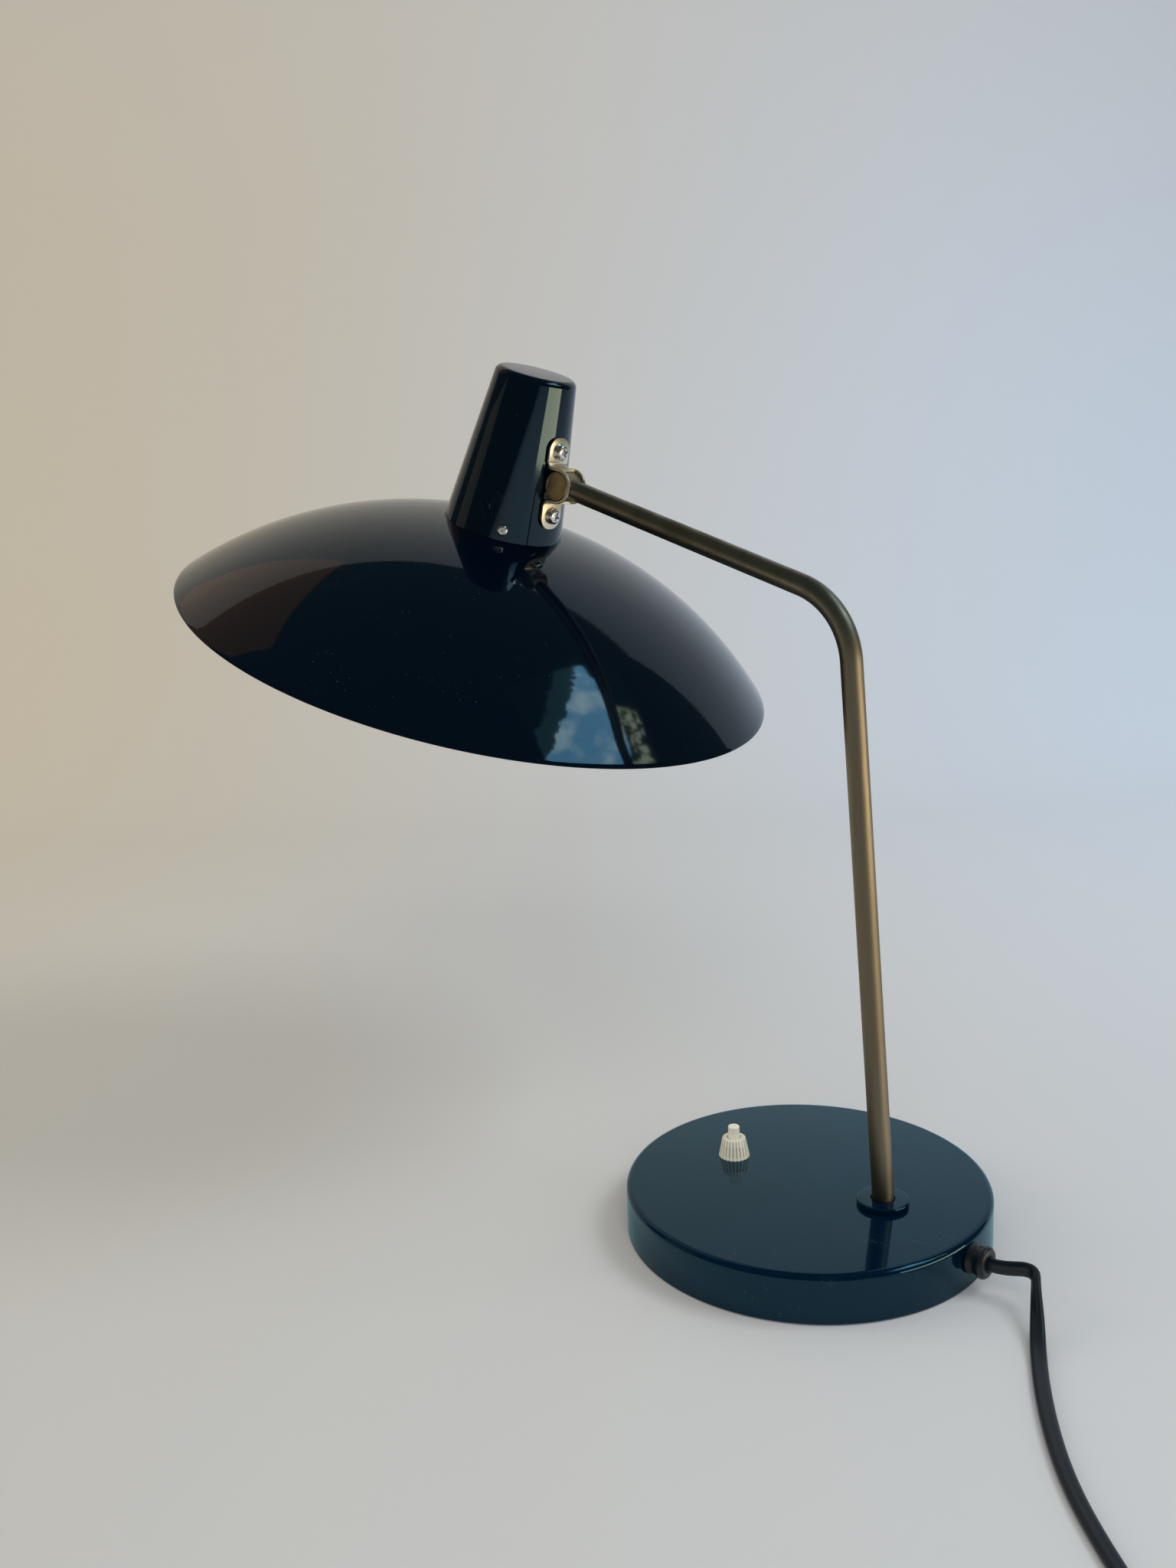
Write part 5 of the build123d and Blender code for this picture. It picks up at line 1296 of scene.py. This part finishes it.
class LAMP_OT_stage(bpy.types.Operator):
    """Set up the pale studio: floor and backdrop, soft lamps and the camera."""

    bl_idname = "lamp.stage"
    bl_label = "Stage"

    def execute(self, context):
        self.sweep()
        self.window()
        self.lights(context)
        self.camera(context)
        return {"FINISHED"}

    def sweep(self):
        """A pale floor that curves up into a wall, with painted light in its colour: warm to the left, cool to the
        right, lighter towards the back and warmer up the wall.
        """
        forward = Vector((-math.sin(CAMERA_AZIMUTH), math.cos(CAMERA_AZIMUTH), 0))
        side = Vector((math.cos(CAMERA_AZIMUTH), math.sin(CAMERA_AZIMUTH), 0))
        outline = [(-2.6, 0.0), (0.9, 0.0)] + arc((0.9, 0.9), 0.9, -90, 0, 24) + [(1.8, 3.6)]
        backdrop = begin("stage_sweep")
        draw([(-3.2, x, z) for x, z in outline])
        bpy.ops.mesh.select_all(action="SELECT")
        bpy.ops.mesh.extrude_region_move(TRANSFORM_OT_translate={"value": (6.4, 0, 0)})
        bpy.ops.mesh.select_all(action="SELECT")
        bpy.ops.mesh.remove_doubles(threshold=0.00001)
        bpy.ops.object.mode_set(mode="OBJECT")
        place(backdrop, frame_matrix((0, 0, 0), side, (0, 0, 1)))
        smooth(backdrop, 60)
        material, nodes, shader, where = new_material("pale paper sweep", 0.0, 0.85, specular=0.2)
        along = nodes.add("ShaderNodeVectorMath", operation="DOT_PRODUCT")
        nodes.set(along, 0, where)
        along.inputs[1].default_value = side
        height = nodes.add("ShaderNodeSeparateXYZ")
        nodes.set(height, 0, where)
        # Painted light: warm to the left, cool to the right, lighter towards the back and warmer up the wall.
        cool = nodes.ramp(along.outputs["Value"], -1.0, 0.9)
        lift = nodes.ramp(height.outputs["Z"], 0.0, 1.6)
        low_tone = nodes.mix(cool, (0.60, 0.54, 0.44), (0.61, 0.65, 0.70))
        wall_tone = nodes.mix(cool, (0.72, 0.62, 0.47), (0.77, 0.85, 0.95))
        depth = nodes.add("ShaderNodeVectorMath", operation="DOT_PRODUCT")
        nodes.set(depth, 0, where)
        depth.inputs[1].default_value = forward
        tone = nodes.mix(nodes.ramp(depth.outputs["Value"], -0.2, 1.15), low_tone, wall_tone)
        warm = nodes.mix(nodes.math("MULTIPLY", lift, 0.5), tone, (0.80, 0.72, 0.62))
        mottle = nodes.noise(where, 1.7, 3.0, 0.5)
        nodes.set(shader, "Base Color", nodes.mix(nodes.math("MULTIPLY", mottle, 0.22), warm, (0.74, 0.72, 0.68)))
        backdrop.data.materials.append(material)

    def window(self):
        """A bright window to the right that only mirrors in the enamel and the metal."""
        deselect()
        bpy.ops.mesh.primitive_plane_add(size=1)
        pane = bpy.context.object
        pane.name = pane.data.name = "stage_window"
        facing = (Vector((-0.13, -0.15, 0.35)) - Vector(WINDOW_PLACE)).normalized()
        side = facing.cross(Vector((0, 0, 1))).normalized()
        lean = Matrix.Rotation(math.radians(27), 3, facing)
        pane.matrix_world = frame_matrix(WINDOW_PLACE, lean @ side, facing) @ Matrix.Diagonal((1.0, 0.8, 1, 1))
        pane.visible_camera = pane.visible_diffuse = pane.visible_shadow = False
        material = bpy.data.materials.new("window")
        material.use_nodes = True
        nodes = Nodes(material.node_tree)
        where = nodes.add("ShaderNodeTexCoord").outputs["Object"]
        clouds = nodes.ramp(nodes.noise(where, 3.2, 6.0, 0.55), 0.46, 0.66)
        sky = nodes.mix(clouds, (1.5, 2.9, 4.1), (5.0, 5.3, 5.3))
        leaves = nodes.ramp(nodes.noise(where, 9.0, 6.0, 0.7), 0.47, 0.56)
        place_at = nodes.add("ShaderNodeSeparateXYZ")
        nodes.set(place_at, 0, where)
        ragged = nodes.math("MULTIPLY", nodes.math("SUBTRACT", nodes.noise(where, 5.0, 4.0, 0.6), 0.5), 0.16)
        across = nodes.math("ADD", place_at.outputs["X"], ragged)
        upwards = nodes.math("ADD", place_at.outputs["Y"], ragged)
        garden = nodes.mix(leaves, (0.12, 0.15, 0.05), (3.4, 3.1, 2.0))
        outdoors = nodes.mix(nodes.ramp(upwards, -0.04, 0.02), (0.05, 0.08, 0.075), garden)
        view = nodes.mix(nodes.ramp(across, 0.24, 0.27), sky, outdoors)
        arch = nodes.math("ADD", across, nodes.math("MULTIPLY", upwards, 0.75))
        reveal = nodes.mix(nodes.ramp(arch, -0.20, -0.18), (0.22, 0.42, 0.40), view)
        inside = nodes.math("MULTIPLY", nodes.ramp(arch, -0.42, -0.38), nodes.ramp(across, 0.44, 0.47, invert=True))
        emission = nodes.add("ShaderNodeEmission")
        nodes.set(emission, "Color", nodes.mix(inside, (0.05, 0.08, 0.075), reveal))
        nodes.set(material.node_tree.nodes["Material Output"], "Surface", emission.outputs[0])
        pane.data.materials.append(material)

    def lights(self, context):
        """Soft lamps at a plain level and an even world."""
        lamps = (("key", (1.1, -1.4, 1.5), 1.2, 1.6, 14.0, (1.0, 0.98, 0.95), False),
                 ("window", WINDOW_PLACE, 0.8, 0.6, 9.0, (0.86, 0.93, 1.0), False),
                 ("low", (0.96, 0.28, 0.115), 0.85, 0.22, 3.8, (1.0, 0.76, 0.44), True),
                 ("room", (-1.19, -1.04, 0.58), 0.6, 0.6, 0.32, (1.0, 0.70, 0.38), True),
                 ("brown", (-1.25, -0.25, 1.45), 0.95, 0.95, 0.6, (1.0, 0.34, 0.04), True),
                 ("left", (-1.8, -1.1, 1.0), 1.0, 1.4, 9.0, (1.0, 0.88, 0.70), False))
        for name, spot, width, height, power, tone, mirrored in lamps:
            deselect()
            bpy.ops.object.light_add(type="AREA", location=spot)
            lamp = context.object
            lamp.name = "stage_" + name
            lamp.data.shape = "RECTANGLE"
            lamp.data.size, lamp.data.size_y = width, height
            lamp.data.energy = power
            lamp.data.color = tone
            lamp.visible_glossy, lamp.visible_diffuse = mirrored, not mirrored
            aim = Vector((-0.05, 0, 0.2)) - Vector(spot)
            lamp.rotation_mode = "QUATERNION"
            lamp.rotation_quaternion = aim.to_track_quat("-Z", "Y")
        world = bpy.data.worlds.new("studio")
        context.scene.world = world
        world.use_nodes = True
        nodes = Nodes(world.node_tree)
        glossy = nodes.add("ShaderNodeLightPath").outputs["Is Glossy Ray"]
        room = nodes.mix(glossy, (0.45, 0.49, 0.54), (0.045, 0.065, 0.06))
        nodes.set(world.node_tree.nodes["Background"], "Color", room)

    def camera(self, context):
        """The camera at the photograph's viewpoint."""
        azimuth, height = CAMERA_AZIMUTH, CAMERA_HEIGHT
        back = Vector((math.sin(azimuth) * math.cos(height), -math.cos(azimuth) * math.cos(height),
                       math.sin(height)))
        right = (-back).cross(Vector((0, 0, 1))).normalized()
        up = right.cross(-back)
        rolled = right * math.cos(CAMERA_ROLL) + up * math.sin(CAMERA_ROLL)
        deselect()
        bpy.ops.object.camera_add()
        camera = context.object
        camera.name = "stage_camera"
        camera.matrix_world = frame_matrix(CAMERA_TARGET + back * CAMERA_DISTANCE, rolled, back)
        camera.data.sensor_width = 36
        camera.data.lens = CAMERA_LENS
        camera.data.clip_start, camera.data.clip_end = 0.01, 20
        context.scene.camera = camera
        context.scene.view_settings.view_transform = "Standard"


class LAMP_PT_panel(bpy.types.Panel):
    """Lists the lamp's operators and sizes."""

    bl_idname = "LAMP_PT_panel"
    bl_label = "Desk lamp"
    bl_space_type = "VIEW_3D"
    bl_region_type = "UI"
    bl_category = "Lamp"

    def draw(self, context):
        for operator in OPERATORS:
            self.layout.operator(operator.bl_idname)
        lamp = context.scene.lamp
        for group in (lamp.base, lamp.arm, lamp.head, lamp.colours):
            box = self.layout.box()
            for name in group.__annotations__:
                box.prop(group, name)


OPERATORS = (LAMP_OT_base, LAMP_OT_arm, LAMP_OT_strap, LAMP_OT_cap, LAMP_OT_shade, LAMP_OT_switch,
             LAMP_OT_spring, LAMP_OT_grommet, LAMP_OT_plug, LAMP_OT_cord, LAMP_OT_bulb, LAMP_OT_inner, LAMP_OT_stage)
CLASSES = (LampBaseSizes, LampArmSizes, LampHeadSizes, LampColours, LampSettings, *OPERATORS, LAMP_PT_panel)


def register():
    """Register the classes and the lamp's settings."""
    for made in CLASSES:
        bpy.utils.register_class(made)
    bpy.types.Scene.lamp = bpy.props.PointerProperty(type=LampSettings)


def unregister():
    """Take the settings and the classes away again."""
    del bpy.types.Scene.lamp
    for made in reversed(CLASSES):
        bpy.utils.unregister_class(made)


def main():
    """Build every piece in order."""
    register()
    for operator in OPERATORS:
        group, name = operator.bl_idname.split(".")
        getattr(getattr(bpy.ops, group), name)()
    deselect()


if __name__ == "__main__":
    main()
